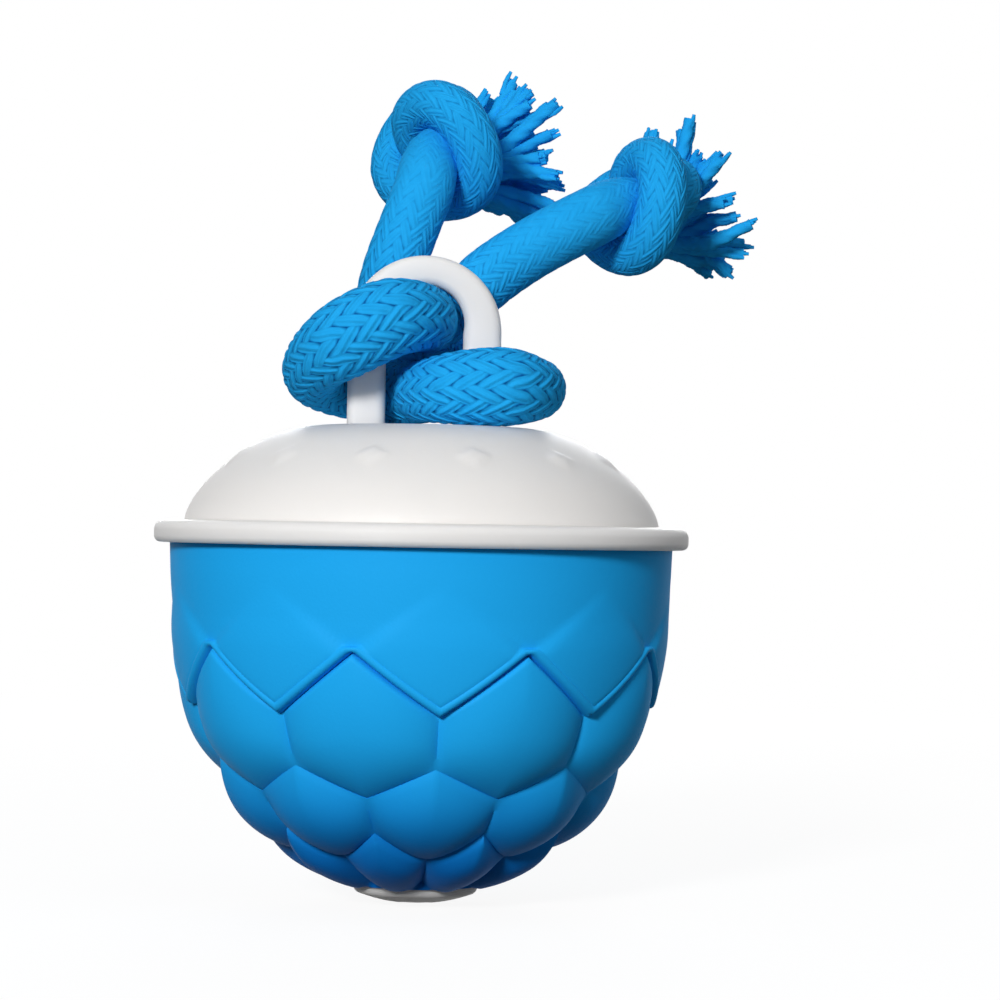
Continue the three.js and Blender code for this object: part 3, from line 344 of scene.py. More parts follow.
halfKnot = [
    [0.9, -0.05, -1.75],
    [0.5, -0.03, -1.17],
    [0.18, -0.12, -0.68],
    [-0.08, -0.4, -0.27],
    [-0.5, -0.47, 0.12],
    [-0.77, -0.18, 0.56],
    [-0.77, 0.22, 0.95],
    [-0.46, 0.67, 1.16],
    [0.05, 0.96, 1.12],
    [0.56, 0.99, 0.86],
    [0.91, 0.72, 0.5],
    [1.05, 0.26, 0.16],
]
knotShape = {"scale": 8.0, "lead": [4.7, 4.6, 4.3], "radius": 3.8, "stub": 2.0}
leftKnot = {
    "centre": (1.5, 25, 122.1),
    "entry": (0.15, 0.77, 0.62),
    "exit": (0.1, 0.95, -0.5),
    "aim": (0.9, 0.3, 0.3),
    "length": 14.5,
    "lift": 0,
}
rightKnot = {
    "centre": (35.3, 27, 113.4),
    "entry": (0.55, 0.78, 0.2),
    "exit": (0.05, 0.93, -0.5),
    "aim": (0.8, 0.35, 0.45),
    "length": 9.5,
    "lift": 3.5,
}


def knotPoints(knot):
    entry, leave = Vector(knot["entry"]).normalized(), Vector(knot["exit"]).normalized()
    up, along = (entry + leave).normalized(), (leave - entry).normalized()
    across = up.cross(along)
    shape = halfKnot + [[x, -y, -z] for x, y, z in reversed(halfKnot[1:])]
    points = []
    for i, (x, y, z) in enumerate(shape):
        place = Vector(knot["centre"]) + knotShape["scale"] * (along * x + across * y + up * z)
        lead = knotShape["lead"]
        points.append([*place, lead[i] if i < len(lead) else knotShape["radius"]])
    return points


def leaving(knot):
    return (Vector(knot["exit"]).normalized() + Vector(knot["aim"]).normalized()).normalized()


def ropeEnd(knot):
    last = Vector(knotPoints(knot)[-1][:3]) + leaving(knot) * knotShape["stub"]
    return [*last, knotShape["radius"]]


def ropeTree():
    inputs = [
        ("Geometry", "Geometry", None),
        ("Strands", "Float", rope["strands"]),
        ("Lay", "Float", rope["lay"]),
        ("Relief", "Float", rope["relief"]),
        ("Columns", "Int", rope["columns"]),
        ("Step", "Float", rope["step"]),
        ("Material", "Material", None),
    ]
    tree, given = newTree("braidedRope", "GeometryNodeTree", inputs, [("Geometry", "Geometry")])
    named = "GeometryNodeInputNamedAttribute"
    store = "GeometryNodeStoreNamedAttribute"
    line = addNode(tree, "GeometryNodeMeshToCurve", {"Mesh": given["Geometry"]}).outputs["Curve"]
    wires = {"Curve": line, "Length": given["Step"]}
    line = addNode(tree, "GeometryNodeResampleCurve", wires, mode="LENGTH").outputs["Curve"]
    wires = {"Resolution": given["Columns"], "Radius": 1.0, "Sweep Angle": 2 * math.pi}
    ring = addNode(tree, "GeometryNodeCurveArc", wires).outputs["Curve"]
    turn = addNode(tree, "GeometryNodeSplineParameter").outputs["Factor"]
    ring = addNode(tree, store, {"Geometry": ring, "Name": "turn", "Value": turn}).outputs["Geometry"]
    thickness = addNode(tree, named, {"Name": "thickness"}).outputs["Attribute"]
    wires = {"Curve": line, "Profile Curve": ring, "Scale": thickness}
    skin = addNode(tree, "GeometryNodeCurveToMesh", wires).outputs["Mesh"]
    turn = addNode(tree, named, {"Name": "turn"}).outputs["Attribute"]
    run = addNode(tree, named, {"Name": "run"}).outputs["Attribute"]
    chart = addNode(tree, "ShaderNodeCombineXYZ", {"X": turn, "Y": run}).outputs["Vector"]
    wires = {"Geometry": skin, "Name": "braidMap", "Value": chart}
    skin = addNode(tree, store, wires, data_type="FLOAT2", domain="CORNER").outputs["Geometry"]
    around = calc(tree, "MULTIPLY", turn, given["Strands"])
    relief, _ = braidNodes(tree, around, calc(tree, "DIVIDE", run, given["Lay"]))
    relief = calc(tree, "MULTIPLY", calc(tree, "SUBTRACT", relief, braid["middle"]), given["Relief"])
    depth = addNode(tree, named, {"Name": "depth"}).outputs["Attribute"]
    relief = calc(tree, "MULTIPLY", calc(tree, "MULTIPLY", relief, thickness), depth)
    skin = addNode(tree, store, {"Geometry": skin, "Name": "relief", "Value": relief}).outputs["Geometry"]
    wires = {"Geometry": skin, "Distance": rope["weld"]}
    skin = addNode(tree, "GeometryNodeMergeByDistance", wires).outputs["Geometry"]
    normal = addNode(tree, "GeometryNodeInputNormal").outputs["Normal"]
    relief = addNode(tree, named, {"Name": "relief"}).outputs["Attribute"]
    wires = {0: normal, "Scale": relief}
    offset = addNode(tree, "ShaderNodeVectorMath", wires, operation="SCALE").outputs[0]
    wires = {"Geometry": skin, "Offset": offset}
    skin = addNode(tree, "GeometryNodeSetPosition", wires).outputs["Geometry"]
    skin = addNode(tree, "GeometryNodeRealizeInstances", {"Geometry": skin}).outputs["Geometry"]
    wires = {"Geometry": skin, "Material": given["Material"]}
    skin = addNode(tree, "GeometryNodeSetMaterial", wires).outputs["Geometry"]
    addNode(tree, "NodeGroupOutput", {"Geometry": skin})
    return tree


def ropeMaterial():
    material = newMaterial("braidedBlue", looks["blue_rope"])
    tree = material.node_tree
    shader = tree.nodes["Principled BSDF"]
    wires = {"Strands": rope["strands"], "Lay": rope["lay"]}
    strands = addNode(tree, "ShaderNodeGroup", wires, node_tree=yarnGroup())
    # Painted shade in the grooves, stronger where the braid's relief is low
    start, full = rope["grooveShadeSpan"]
    wires = {"Value": strands.outputs["Relief"], "From Min": start, "From Max": full}
    groove = addNode(tree, "ShaderNodeMapRange", wires).outputs["Result"]
    depth = addNode(tree, "ShaderNodeAttribute", attribute_name="depth").outputs["Fac"]
    groove = calc(tree, "MULTIPLY", groove, depth)
    dark = (*rope["dark"], 1)
    plain = shader.inputs["Base Color"].links[0].from_socket
    mix = addNode(tree, "ShaderNodeMix", {0: groove, 6: plain, 7: dark}, data_type="RGBA")
    tree.links.new(mix.outputs[2], shader.inputs["Base Color"])
    bump = shader.inputs["Normal"].links[0].from_node
    yarn = calc(tree, "MULTIPLY", strands.outputs["Yarn"], depth)
    wires = {"Strength": rope["yarn"], "Distance": grainDepth, "Height": yarn}
    lines = addNode(tree, "ShaderNodeBump", wires)
    tree.links.new(lines.outputs["Normal"], bump.inputs["Normal"])
    return material


def pressedHitch():
    points = []
    for i, (x, y, z, radius) in enumerate(hitch):
        lift, swell = rope["pressed"].get(i, (0, 0))
        points.append([x, y, z + lift, radius + swell])
    return points


leftPoints, rightPoints = knotPoints(leftKnot), knotPoints(rightKnot)
route = [ropeEnd(leftKnot), *reversed(leftPoints), *pressedHitch(), *rightPoints, ropeEnd(rightKnot)]
ropeLine = smoothLine(route, rope["spacing"])
ropeLine[:, 3] += rope["grow"]
ropeRun = np.concatenate([[0], np.cumsum(np.linalg.norm(np.diff(ropeLine[:, :3], axis=0), axis=1))])
seam = int(np.argmin(np.linalg.norm(ropeLine[:, :3] - np.array(rope["seam"]), axis=1)))
halves = {"ropeLeft": slice(seam, None, -1), "ropeRight": slice(seam, None)}
braidTree, braidedBlue = ropeTree(), ropeMaterial()


def ropeHalf(name, part):
    line, run = ropeLine[part], ropeRun[part]
    before = line[0, :3] - (line[1] - line[0])[:3]
    after = line[-1, :3] + (line[-1] - line[-2])[:3]
    line = np.vstack([np.append(before, 0.0), line, np.append(after, 0.0)])  # closes both ends
    mesh = lineMesh(name, [line])
    run = np.concatenate([run[:1], run, run[-1:]])
    depth = np.interp(abs(run - ropeRun[seam]), *zip(*rope["depths"]))
    for label, numbers in (("run", run * mm), ("depth", depth)):
        mesh.attributes.new(label, "FLOAT", "POINT").data.foreach_set("value", numbers)
    values = {
        "Strands": rope["strands"],
        "Lay": rope["lay"],
        "Relief": rope["relief"],
        "Columns": rope["columns"],
        "Step": rope["step"],
        "Material": braidedBlue,
    }
    return growPiece(name, addPiece(name + "Line", mesh), braidTree, values)


ropePieces = {name: ropeHalf(name, part) for name, part in halves.items()}
for name, piece in ropePieces.items():
    print(name, "triangles", 2 * len(piece.data.polygons))

# Tassels: plied strands that leave the rope's end, with loose fibres at their tips
tassel = {
    "clumps": 30,
    "strands": 2,
    "spread": 14.0,
    "turn": 2.4,  # radians from one clump to the next
    "sunk": 2,  # into the rope's end
    "bend": 6,
    "radius": 1.2,
    "tip": 1.0,
    "wave": 1.8,
    "loose": 1.2,
    "jitter": 0.5,
    "clumpReach": (0.75, 1.0),
    "strandReach": (0.85, 1.0),
    "spacing": 0.7,
    "sides": 15,
    "plies": 3,
    "lobes": (0.95, 0.08),  # mean and swing of a strand's radius
    "pitch": 9.0 * mm,
    "seed": 11,
}
fibre = {
    "count": 3,
    "back": 3,  # from the strand's tip
    "past": (0.1, 1.2),  # beyond the tip
    "aside": (0.4, 0.15, 0.9),
    "radii": (0.6, 0.52, 0.3),
}


def strandTree():
    inputs = [
        ("Geometry", "Geometry", None),
        ("Pitch", "Float", tassel["pitch"]),
        ("Material", "Material", None),
    ]
    tree, given = newTree("pliedStrands", "GeometryNodeTree", inputs, [("Geometry", "Geometry")])
    line = addNode(tree, "GeometryNodeMeshToCurve", {"Mesh": given["Geometry"]}).outputs["Curve"]
    length = addNode(tree, "GeometryNodeSplineParameter").outputs["Length"]
    tilt = calc(tree, "MULTIPLY", calc(tree, "DIVIDE", length, given["Pitch"]), 2 * math.pi)
    line = addNode(tree, "GeometryNodeSetCurveTilt", {"Curve": line, "Tilt": tilt}).outputs["Curve"]
    wires = {"Resolution": tassel["sides"], "Radius": 1.0}
    ring = addNode(tree, "GeometryNodeCurvePrimitiveCircle", wires).outputs["Curve"]
    factor = addNode(tree, "GeometryNodeSplineParameter").outputs["Factor"]
    lobes = calc(tree, "COSINE", calc(tree, "MULTIPLY", factor, 2 * tassel["plies"] * math.pi))
    mean, swing = tassel["lobes"]
    lobes = calc(tree, "ADD", calc(tree, "MULTIPLY", lobes, swing), mean)
    place = addNode(tree, "GeometryNodeInputPosition").outputs["Position"]
    wires = {0: place, "Scale": lobes}
    place = addNode(tree, "ShaderNodeVectorMath", wires, operation="SCALE").outputs[0]
    wires = {"Geometry": ring, "Position": place}
    ring = addNode(tree, "GeometryNodeSetPosition", wires).outputs["Geometry"]
    wires = {"Name": "thickness"}
    thickness = addNode(tree, "GeometryNodeInputNamedAttribute", wires).outputs["Attribute"]
    wires = {"Curve": line, "Profile Curve": ring, "Scale": thickness, "Fill Caps": True}
    skin = addNode(tree, "GeometryNodeCurveToMesh", wires).outputs["Mesh"]
    skin = addNode(tree, "GeometryNodeRealizeInstances", {"Geometry": skin}).outputs["Geometry"]
    wires = {"Geometry": skin, "Material": given["Material"]}
    skin = addNode(tree, "GeometryNodeSetMaterial", wires).outputs["Geometry"]
    addNode(tree, "NodeGroupOutput", {"Geometry": skin})
    return tree


def tasselLines(knot, pick):
    out, away = leaving(knot), Vector(knot["aim"]).normalized()
    swing = out.rotation_difference(away)
    side = Vector((0, 0, 1)).cross(out).normalized()
    top = out.cross(side)
    root = Vector(ropeEnd(knot)[:3]) - out * tassel["sunk"]
    thick, thin, spacing = tassel["radius"], tassel["tip"], tassel["spacing"]
    lines = []

    def stray(size):
        return Vector([pick.uniform(-size, size) for _ in range(3)])

    def looseFibre(tip, heading):
        aside = stray(1)
        atBegin, atHalf, atFinish = fibre["aside"]
        begin = tip - heading * fibre["back"] + aside * atBegin
        finish = tip + heading * pick.uniform(*fibre["past"]) + aside * atFinish
        half = (begin + finish) / 2 + aside * atHalf
        places = zip((begin, half, finish), fibre["radii"])
        return smoothLine([[*place, radius] for place, radius in places], spacing)

    for i in range(tassel["clumps"]):
        share = math.sqrt((i + 0.5) / tassel["clumps"])
        angle = i * tassel["turn"]
        fan = side * math.cos(angle) + top * math.sin(angle)
        reach = knot["length"] * pick.uniform(*tassel["clumpReach"])
        width = share * tassel["spread"] * pick.uniform(*tassel["clumpReach"])
        wave = stray(tassel["wave"])
        for _ in range(tassel["strands"]):
            start = root + fan * (share * (knotShape["radius"] - thick)) + stray(tassel["jitter"])
            bend = start + out * tassel["bend"]
            far = reach * pick.uniform(*tassel["strandReach"])
            tip = bend + away * far + (swing @ fan) * width + stray(tassel["loose"])
            tip.z += knot["lift"]
            middle = bend * 0.5 + tip * 0.5 + wave + stray(tassel["jitter"])
            places = ((start, thick), (bend, thick), (middle, thick), (tip, thin))
            lines.append(smoothLine([[*place, radius] for place, radius in places], spacing))
            heading = (tip - middle).normalized()
            lines += [looseFibre(tip, heading) for _ in range(fibre["count"])]
    return lines


strands = strandTree()
tasselPieces = {}
pick = random.Random(tassel["seed"])
for name, knot in (("tasselLeft", leftKnot), ("tasselRight", rightKnot)):
    base = addPiece(name + "Lines", lineMesh(name, tasselLines(knot, pick)))
    values = {"Pitch": tassel["pitch"], "Material": materials["blue_rope"]}
    tasselPieces[name] = growPiece(name, base, strands, values)
    print(name, "faces", len(tasselPieces[name].data.polygons))

cordEnds = [("ropeLeft", "tasselLeft", "tassel_left"), ("ropeRight", "tasselRight", "tassel_right")]
for ropeName, tasselName, node in cordEnds:
    cordPiece, frayed = ropePieces[ropeName], tasselPieces[tasselName]
    for piece in (cordPiece, frayed):
        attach(piece, "shell")
    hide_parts("rope")
    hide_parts(node)


# Turned shapes: profiles run up the outside and down the inside, in millimetres
offAxis = 0.01
sharpEdge = 35


def spun(profile, sides, centre=(0, 0)):
    turns = np.linspace(0, 2 * math.pi, sides, endpoint=False)
    points = []
    for r, z in profile:
        for t in turns:
            x, y = centre[0] + r * math.cos(t), centre[1] + r * math.sin(t)
            points.append((x * mm, y * mm, z * mm))
    faces = []
    for i in range(len(profile)):
        lower, upper = i * sides, (i + 1) % len(profile) * sides
        for k in range(sides):
            faces.append((lower + k, lower + (k + 1) % sides, upper + (k + 1) % sides, upper + k))
    return points, faces


def shadeSmooth(mesh, sharp=sharpEdge):
    mesh.shade_smooth()
    mesh.set_sharp_from_angle(angle=math.radians(sharp))


def meshPiece(name, parts, material):
    points, faces = [], []
    for somePoints, someFaces in parts:
        start = len(points)
        points += somePoints
        faces += [tuple(start + i for i in face) for face in someFaces]
    mesh = bpy.data.meshes.new(name)
    mesh.from_pydata(points, [], faces)
    shadeSmooth(mesh)
    mesh.materials.append(material)
    return addPiece(name, mesh)


def arc(centre, radius, start, stop, steps):
    turns = [math.radians(start + (stop - start) * i / steps) for i in range(steps + 1)]
    return [(centre[0] + radius * math.cos(t), centre[1] + radius * math.sin(t)) for t in turns]


def circle(centre, radius, steps):
    return arc(centre, radius, 0, 360, steps)[:-1]


def onRing(distance, degrees):
    return arc((0, 0), distance, degrees, degrees, 1)[0]


def tube(bore, outside, low, high):
    return [(bore, low), (outside, low), (outside, high), (bore, high)]


dome = {
    "flange": 42.0,
    "flangeBottom": 56.0,
    "flangeTop": 59.4,
    "edge": (1.0, 1.4),  # radii under and over the flange
    "edgeSteps": 8,
    "fillet": [(0.9, 0.0), (0.35, 0.12)],
    "radius": 37.3,
    "crown": 19.0,
    "pad": 15.4,
    "power": 0.635,
    "soften": (26.0, 14.0),  # radii between which the pad's edge is rounded
    "steps": (40, 24, 14),  # outside, inside, pad's edge
    "wall": 2.2,
    "spigot": (33.1, 31.1, 51.0),  # outside, inside, foot
    "innerEdge": (1, 1.4),  # in from the spigot, and down to it
    "boss": (6.4, 3.3, 61.6),  # outside, bore, foot
    "hex": (5.2, 57.6),  # size, foot
    "overlaps": (0.4, 0.3),  # boss into the dome, hexagon into the boss
    "wells": (29.5, 3.4, 1.2, 48.7, 64.4),  # distance, outside, bore, foot, top
    "wellTurns": (30, 150, 270),
    "sides": 288,
    "bossSides": 48,
    "wellSides": 32,
    "lozenges": (12, 29.5, 3.4, 2.4, 0.45),  # count, ring, half width, half length, height
    "flanks": 1.8,
    "skin": 0.3,  # how near the outside a raised point lies
}


def domeHeight(r, radius, crown):
    return dome["flangeTop"] + crown * max(0, 1 - (r / radius) ** 2) ** dome["power"]


def domeArc(radius, crown, pad, steps):
    padRadius = radius * math.sqrt(1 - (pad / crown) ** (1 / dome["power"]))
    points = []
    for i in range(steps + 1):
        r = padRadius + (radius - padRadius) * (1 - (1 - i / steps) ** 2)
        points.append((r, domeHeight(r, radius, crown)))
    return points[::-1]


def flangeRim():
    low, high = dome["edge"]
    under = (dome["flange"] - low, dome["flangeBottom"] + low)
    over = (dome["flange"] - high, dome["flangeTop"] - high)
    return arc(under, low, -90, 0, dome["edgeSteps"]) + arc(over, high, 0, 90, dome["edgeSteps"])


def domeOutside():
    top = dome["flangeTop"] + dome["pad"]
    outside = domeArc(dome["radius"], dome["crown"], dome["pad"], dome["steps"][0])
    root = outside[0][0]
    fillet = [(root + out, dome["flangeTop"] + up) for out, up in dome["fillet"]]
    begin, end = dome["soften"]
    outside = [(r, z) for r, z in outside if r > begin]
    (beforeR, beforeZ), (lastR, lastZ) = outside[-2:]
    turnR = lastR + (top - lastZ) * (lastR - beforeR) / (lastZ - beforeZ)
    for t in np.linspace(0, 1, dome["steps"][2] + 1)[1:]:
        r = lastR * (1 - t) ** 2 + 2 * turnR * t * (1 - t) + end * t**2
        outside.append((r, lastZ * (1 - t) ** 2 + top * (1 - (1 - t) ** 2)))
    return [*fillet, *outside[1:], (offAxis, top)]


def domeInside(under):
    inner, (within, down) = dome["spigot"][1], dome["innerEdge"]
    radius, crown = dome["radius"] - dome["wall"], dome["crown"] - dome["wall"]
    inside = domeArc(radius, crown, under, dome["steps"][1])[::-1]
    inside = [(r, z) for r, z in inside if r < inner - within]
    return [(offAxis, dome["flangeTop"] + under), *inside, (inner, inside[-1][1] - down)]


def raiseLozenges(mesh):
    count, ring, wide, long, lift = dome["lozenges"]
    for vertex in mesh.vertices:
        x, y, z = vertex.co / mm
        r, turn = math.hypot(x, y), math.atan2(y, x) * count / (2 * math.pi)
        across = abs(turn % 1 - 0.5) * 2 * math.pi * r / count
        if abs(z - domeHeight(r, dome["radius"], dome["crown"])) < dome["skin"]:
            away = across / wide + abs(r - ring) / long
            share = min(max(dome["flanks"] - dome["flanks"] * away, 0), 1)
            vertex.co.z += lift * mm * share**2 * (3 - 2 * share)


def domePiece():
    outer, inner, foot = dome["spigot"]
    boss, bore, bossFoot = dome["boss"]
    hexSize, hexFoot = dome["hex"]
    bossLap, hexLap = dome["overlaps"]
    under = dome["pad"] - dome["wall"]
    below = dome["flangeTop"] + under
    spigot = [(inner, foot), (outer, foot), (outer, dome["flangeBottom"])]
    parts = [
        spun([*spigot, *flangeRim(), *domeOutside(), *domeInside(under)], dome["sides"]),
        spun(tube(bore, boss, bossFoot, below + bossLap), dome["bossSides"]),
        spun(tube(bore, hexSize, hexFoot, bossFoot + hexLap), 6),
    ]
    reach, wellOuter, wellBore, wellFoot, wellTop = dome["wells"]
    for degrees in dome["wellTurns"]:
        well = tube(wellBore, wellOuter, wellFoot, wellTop)
        parts.append(spun(well, dome["wellSides"], onRing(reach, degrees)))
    piece = meshPiece("domeSkin", parts, materials["white_plastic"])
    raiseLozenges(piece.data)
    return piece


domeSkin = domePiece()
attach(domeSkin, "shell")
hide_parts("dome_cover")
print("dome made")

loop = {
    "width": 6.0,
    "depth": 5.0,
    "corner": 1.5,
    "cornerSteps": 6,
    "bend": 9.05,
    "bends": 48,
    "foot": 74.85,
    "arcCentre": 89.65,
    "straight": 4,  # of the legs' tops, below the arc's centre
    "thin": 0.7,
}


def loopPiece():
    flat = (loop["width"] / 2 - loop["corner"], loop["depth"] / 2 - loop["corner"])
    section = []
    for corner, (u, v) in enumerate([(1, 1), (-1, 1), (-1, -1), (1, -1)]):
        centre, start = (u * flat[0], v * flat[1]), corner * 90
        section += arc(centre, loop["corner"], start, start + 90, loop["cornerSteps"])
    low, high = loop["foot"], loop["arcCentre"] - loop["straight"]
    stations = [(-loop["bend"], low, 180.0, 1), (-loop["bend"], high, 180.0, 1)]
    for i in range(loop["bends"] + 1):
        angle = 180 - 180 * i / loop["bends"]
        thin = loop["thin"] * math.sin(math.radians(angle))
        x, z = arc((0, loop["arcCentre"]), loop["bend"] + thin, angle, angle, 1)[0]
        stations.append((x, z, angle, 1 - 2 * thin / loop["width"]))
    stations += [(loop["bend"], high, 0.0, 1), (loop["bend"], low, 0.0, 1)]
    points = []
    for x, z, angle, share in stations:
        c, s = share * math.cos(math.radians(angle)), share * math.sin(math.radians(angle))
        points += [((x + u * c) * mm, v * mm, (z + u * s) * mm) for u, v in section]
    size, last = len(section), (len(stations) - 1) * len(section)
    faces = [tuple(range(size)), tuple(range(last + size - 1, last - 1, -1))]
    for i in range(len(stations) - 1):
        for k in range(size):
            after = (k + 1) % size
            faces.append((i * size + after, i * size + k, (i + 1) * size + k, (i + 1) * size + after))
    return meshPiece("loopBar", [(points, faces)], materials["white_plastic"])


loopBar = loopPiece()
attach(loopBar, "shell")
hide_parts("rope_loop")
print("loop made")

# Sleeve: one pitch of scales, repeated round the axis
sleeve = {
    "count": 9,
    "turn": -15.0,
    "columns": 36,
    "valley": 37.6,
    "drop": 43.0,
    "shoulder": 45.0,
    "top": 55.95,
    "flare": 0.4,
    "band": 1.5,
    "bandRings": 40,
    "bandSinks": (0.3, 1, 10),  # depth, start above the ridge's peaks, run
    "ridge": [  # height over the scales' edge, relief
        (2.1, -0.3),
        (1.85, -0.08),
        (1.55, 0.1),
        (1.2, 0.14),
        (0.8, 0.05),
        (0.5, -0.2),
        (0.3, -0.6),
        (0.12, -0.95),
    ],
    "blunt": 0.45,
    "diamond": (0.75, 10.0, 52.0, 12, 1.6),  # depth, run, upper end, sharpness, fading
    "edges": [(40.5, 31.0, 0.15), (22.8, 18.0, 0.2), (12.4, 8.8, 1.0)],  # peak, valley, roundness
    "rows": [  # steps, height, crest, start, end, roundness
        (44, 1.9, 0.5, 0.7, -0.05, 0.75),
        (34, 1.85, 0.56, 0.05, 0.25, 0.85),
        (22, 1.75, 0.55, 0.3, 0.8, 0.85),
    ],
    "groove": -0.55,
    "upperEdge": 1.0,
    "lowerSlope": 0.9,
    "crowding": 0.5,  # of the rings towards a row's edges
    "lip": (10.2, 2.8, 3.88),  # radius, foot, height of its outer edge
    "lipEdge": [(0.35, 0.12), (0.0, 0.3)],
    "inner": (35.6, 41.0),  # radius, drop
    "innerSteps": 16,
    "weld": 2e-6,
    "sharp": 50,
    # Painted shade: the rubber's blue is mixed to a darker blue towards the foot
    "lowShade": (0.002, 0.14, 0.52),
    "lowShadeHeights": (2.0, 29.0),  # heights where the painted shade is full and where it starts
}


def roundOver(distance, width):
    return np.sqrt(np.clip(1 - (1 - np.clip(distance / width, 0, 1)) ** 2, 0, 1))


def levelRing(angles, r, z):
    return np.stack([r * np.sin(angles), -r * np.cos(angles), z + 0 * angles], axis=1)


def raisedRing(angles, z, raised):
    fall = np.clip((sleeve["shoulder"] - z) / sleeve["drop"], 0, 0.9999)
    spread = np.clip((z - sleeve["shoulder"]) / (sleeve["top"] - sleeve["shoulder"]), 0, 1)
    radius = sleeve["valley"] * np.sqrt(1 - fall**2) + sleeve["flare"] * spread
    out, down = radius / sleeve["valley"] ** 2, -fall / sleeve["drop"]
    size = np.hypot(out, down)
    return levelRing(angles, radius + raised * out / size, z + raised * down / size)


def rowTurn(row, turn):
    return 1 - turn if row == 1 else turn  # the middle row stands between the others


def scaleEdges(turn):
    edges = []
    for i, (peak, valley, bend) in enumerate(sleeve["edges"]):
        share = rowTurn(i, turn)
        edges.append(peak + (valley - peak) * (share + bend * (np.sin(share * math.pi / 2) - share)))
    return [*edges, np.full_like(turn, sleeve["lip"][2])]


def bandRings(angles, turn, edge):
    relief, span, reach, crease, fade = sleeve["diamond"]
    sink, over, run = sleeve["bandSinks"]
    peak = edge.max()

    def overEdge(above):
        return np.minimum(edge + above, peak + above * sleeve["blunt"])

    rings = []
    ridgeTop = overEdge(sleeve["ridge"][0][0])
    for share in np.linspace(0, 1, sleeve["bandRings"]):
        z = sleeve["top"] + (ridgeTop - sleeve["top"]) * share
        away = 1 - turn + np.abs(z - peak) / span  # 1 on the faint edges that rise from the peaks
        hollow = np.clip(away, 0, 1) ** crease * np.clip((reach - z) / (reach - peak), 0, 1) ** fade
        sunk = sink * np.clip((peak + over - z) / run, 0, 1)
        rings.append(raisedRing(angles, z, sleeve["band"] - relief * hollow - sunk))
    for above, lift in sleeve["ridge"][1:]:
        rings.append(raisedRing(angles, overEdge(above), sleeve["band"] + lift - sink * turn))
    return rings


def rowRings(angles, across, top, bottom, row):
    steps, height, crest, begin, finish, bulge = row
    groove, rings = sleeve["groove"], []
    for i in range(steps + 1):
        share = i / steps
        share = share + sleeve["crowding"] * share * (1 - share) * (2 * share - 1)
        z = top + (bottom - top) * share
        rise = begin + (1 - begin) * math.sin(min(share / crest, 1) * math.pi / 2)
        slope = 1 - (max(share - crest, 0) / (1 - crest)) ** 2
        fall = finish + (1 - finish) * slope ** sleeve["lowerSlope"]
        side = (1 - across**2) ** bulge
        upper = roundOver(top - z, sleeve["upperEdge"])
        rings.append(raisedRing(angles, z, groove + (height - groove) * rise * fall * side * upper))
    return rings


def liningRings(angles):
    radius, foot, _ = sleeve["lip"]
    inner, drop = sleeve["inner"]
    rings = [levelRing(angles, radius + out, foot + up) for out, up in sleeve["lipEdge"]]
    begin = math.degrees(math.asin(radius / inner))
    for i in range(sleeve["innerSteps"] + 1):
        angle = math.radians(begin + (90 - begin) * i / sleeve["innerSteps"])
        z = sleeve["shoulder"] - drop * math.cos(angle)
        rings.append(levelRing(angles, inner * math.sin(angle), z))
    return [*rings, levelRing(angles, inner, sleeve["top"])]


def sleeveSector():
    pitch = 2 * math.pi / sleeve["count"]
    start = math.radians(sleeve["turn"])
    angles = start + pitch * np.linspace(-0.5, 0.5, sleeve["columns"] + 1)
    turn = np.abs(angles - start) / pitch * 2  # 0 at the peaks of the band's edge, 1 at its valleys
    edges = scaleEdges(turn)
    rings = bandRings(angles, turn, edges[0])
    for i, row in enumerate(sleeve["rows"]):
        rings += rowRings(angles, rowTurn(i, turn), edges[i], edges[i + 1], row)
    rings += liningRings(angles)
    points = [tuple(point * mm) for ring in rings for point in ring]
    size, faces = len(angles), []
    for i in range(len(rings)):
        lower, upper = (i + 1) % len(rings) * size, i * size
        faces += [(lower + k, lower + k + 1, upper + k + 1, upper + k) for k in range(size - 1)]
    mesh = bpy.data.meshes.new("sleeveSector")
    mesh.from_pydata(points, [], faces)
    return mesh


def ringTree():
    inputs = [
        ("Geometry", "Geometry", None),
        ("Count", "Int", sleeve["count"]),
        ("Material", "Material", None),
    ]
    tree, given = newTree("roundTheAxis", "GeometryNodeTree", inputs, [("Geometry", "Geometry")])
    points = addNode(tree, "GeometryNodePoints", {"Count": given["Count"]}).outputs[0]
    index = addNode(tree, "GeometryNodeInputIndex").outputs["Index"]
    angle = calc(tree, "DIVIDE", calc(tree, "MULTIPLY", index, 2 * math.pi), given["Count"])
    euler = addNode(tree, "ShaderNodeCombineXYZ", {"Z": angle}).outputs["Vector"]
    rotation = addNode(tree, "FunctionNodeEulerToRotation", {"Euler": euler}).outputs["Rotation"]
    wires = {"Points": points, "Instance": given["Geometry"], "Rotation": rotation}
    copies = addNode(tree, "GeometryNodeInstanceOnPoints", wires).outputs["Instances"]
    whole = addNode(tree, "GeometryNodeRealizeInstances", {"Geometry": copies}).outputs["Geometry"]
    wires = {"Geometry": whole, "Distance": sleeve["weld"]}
    whole = addNode(tree, "GeometryNodeMergeByDistance", wires).outputs["Geometry"]
    wires = {"Geometry": whole, "Material": given["Material"]}
    whole = addNode(tree, "GeometryNodeSetMaterial", wires).outputs["Geometry"]
    addNode(tree, "NodeGroupOutput", {"Geometry": whole})
    return tree
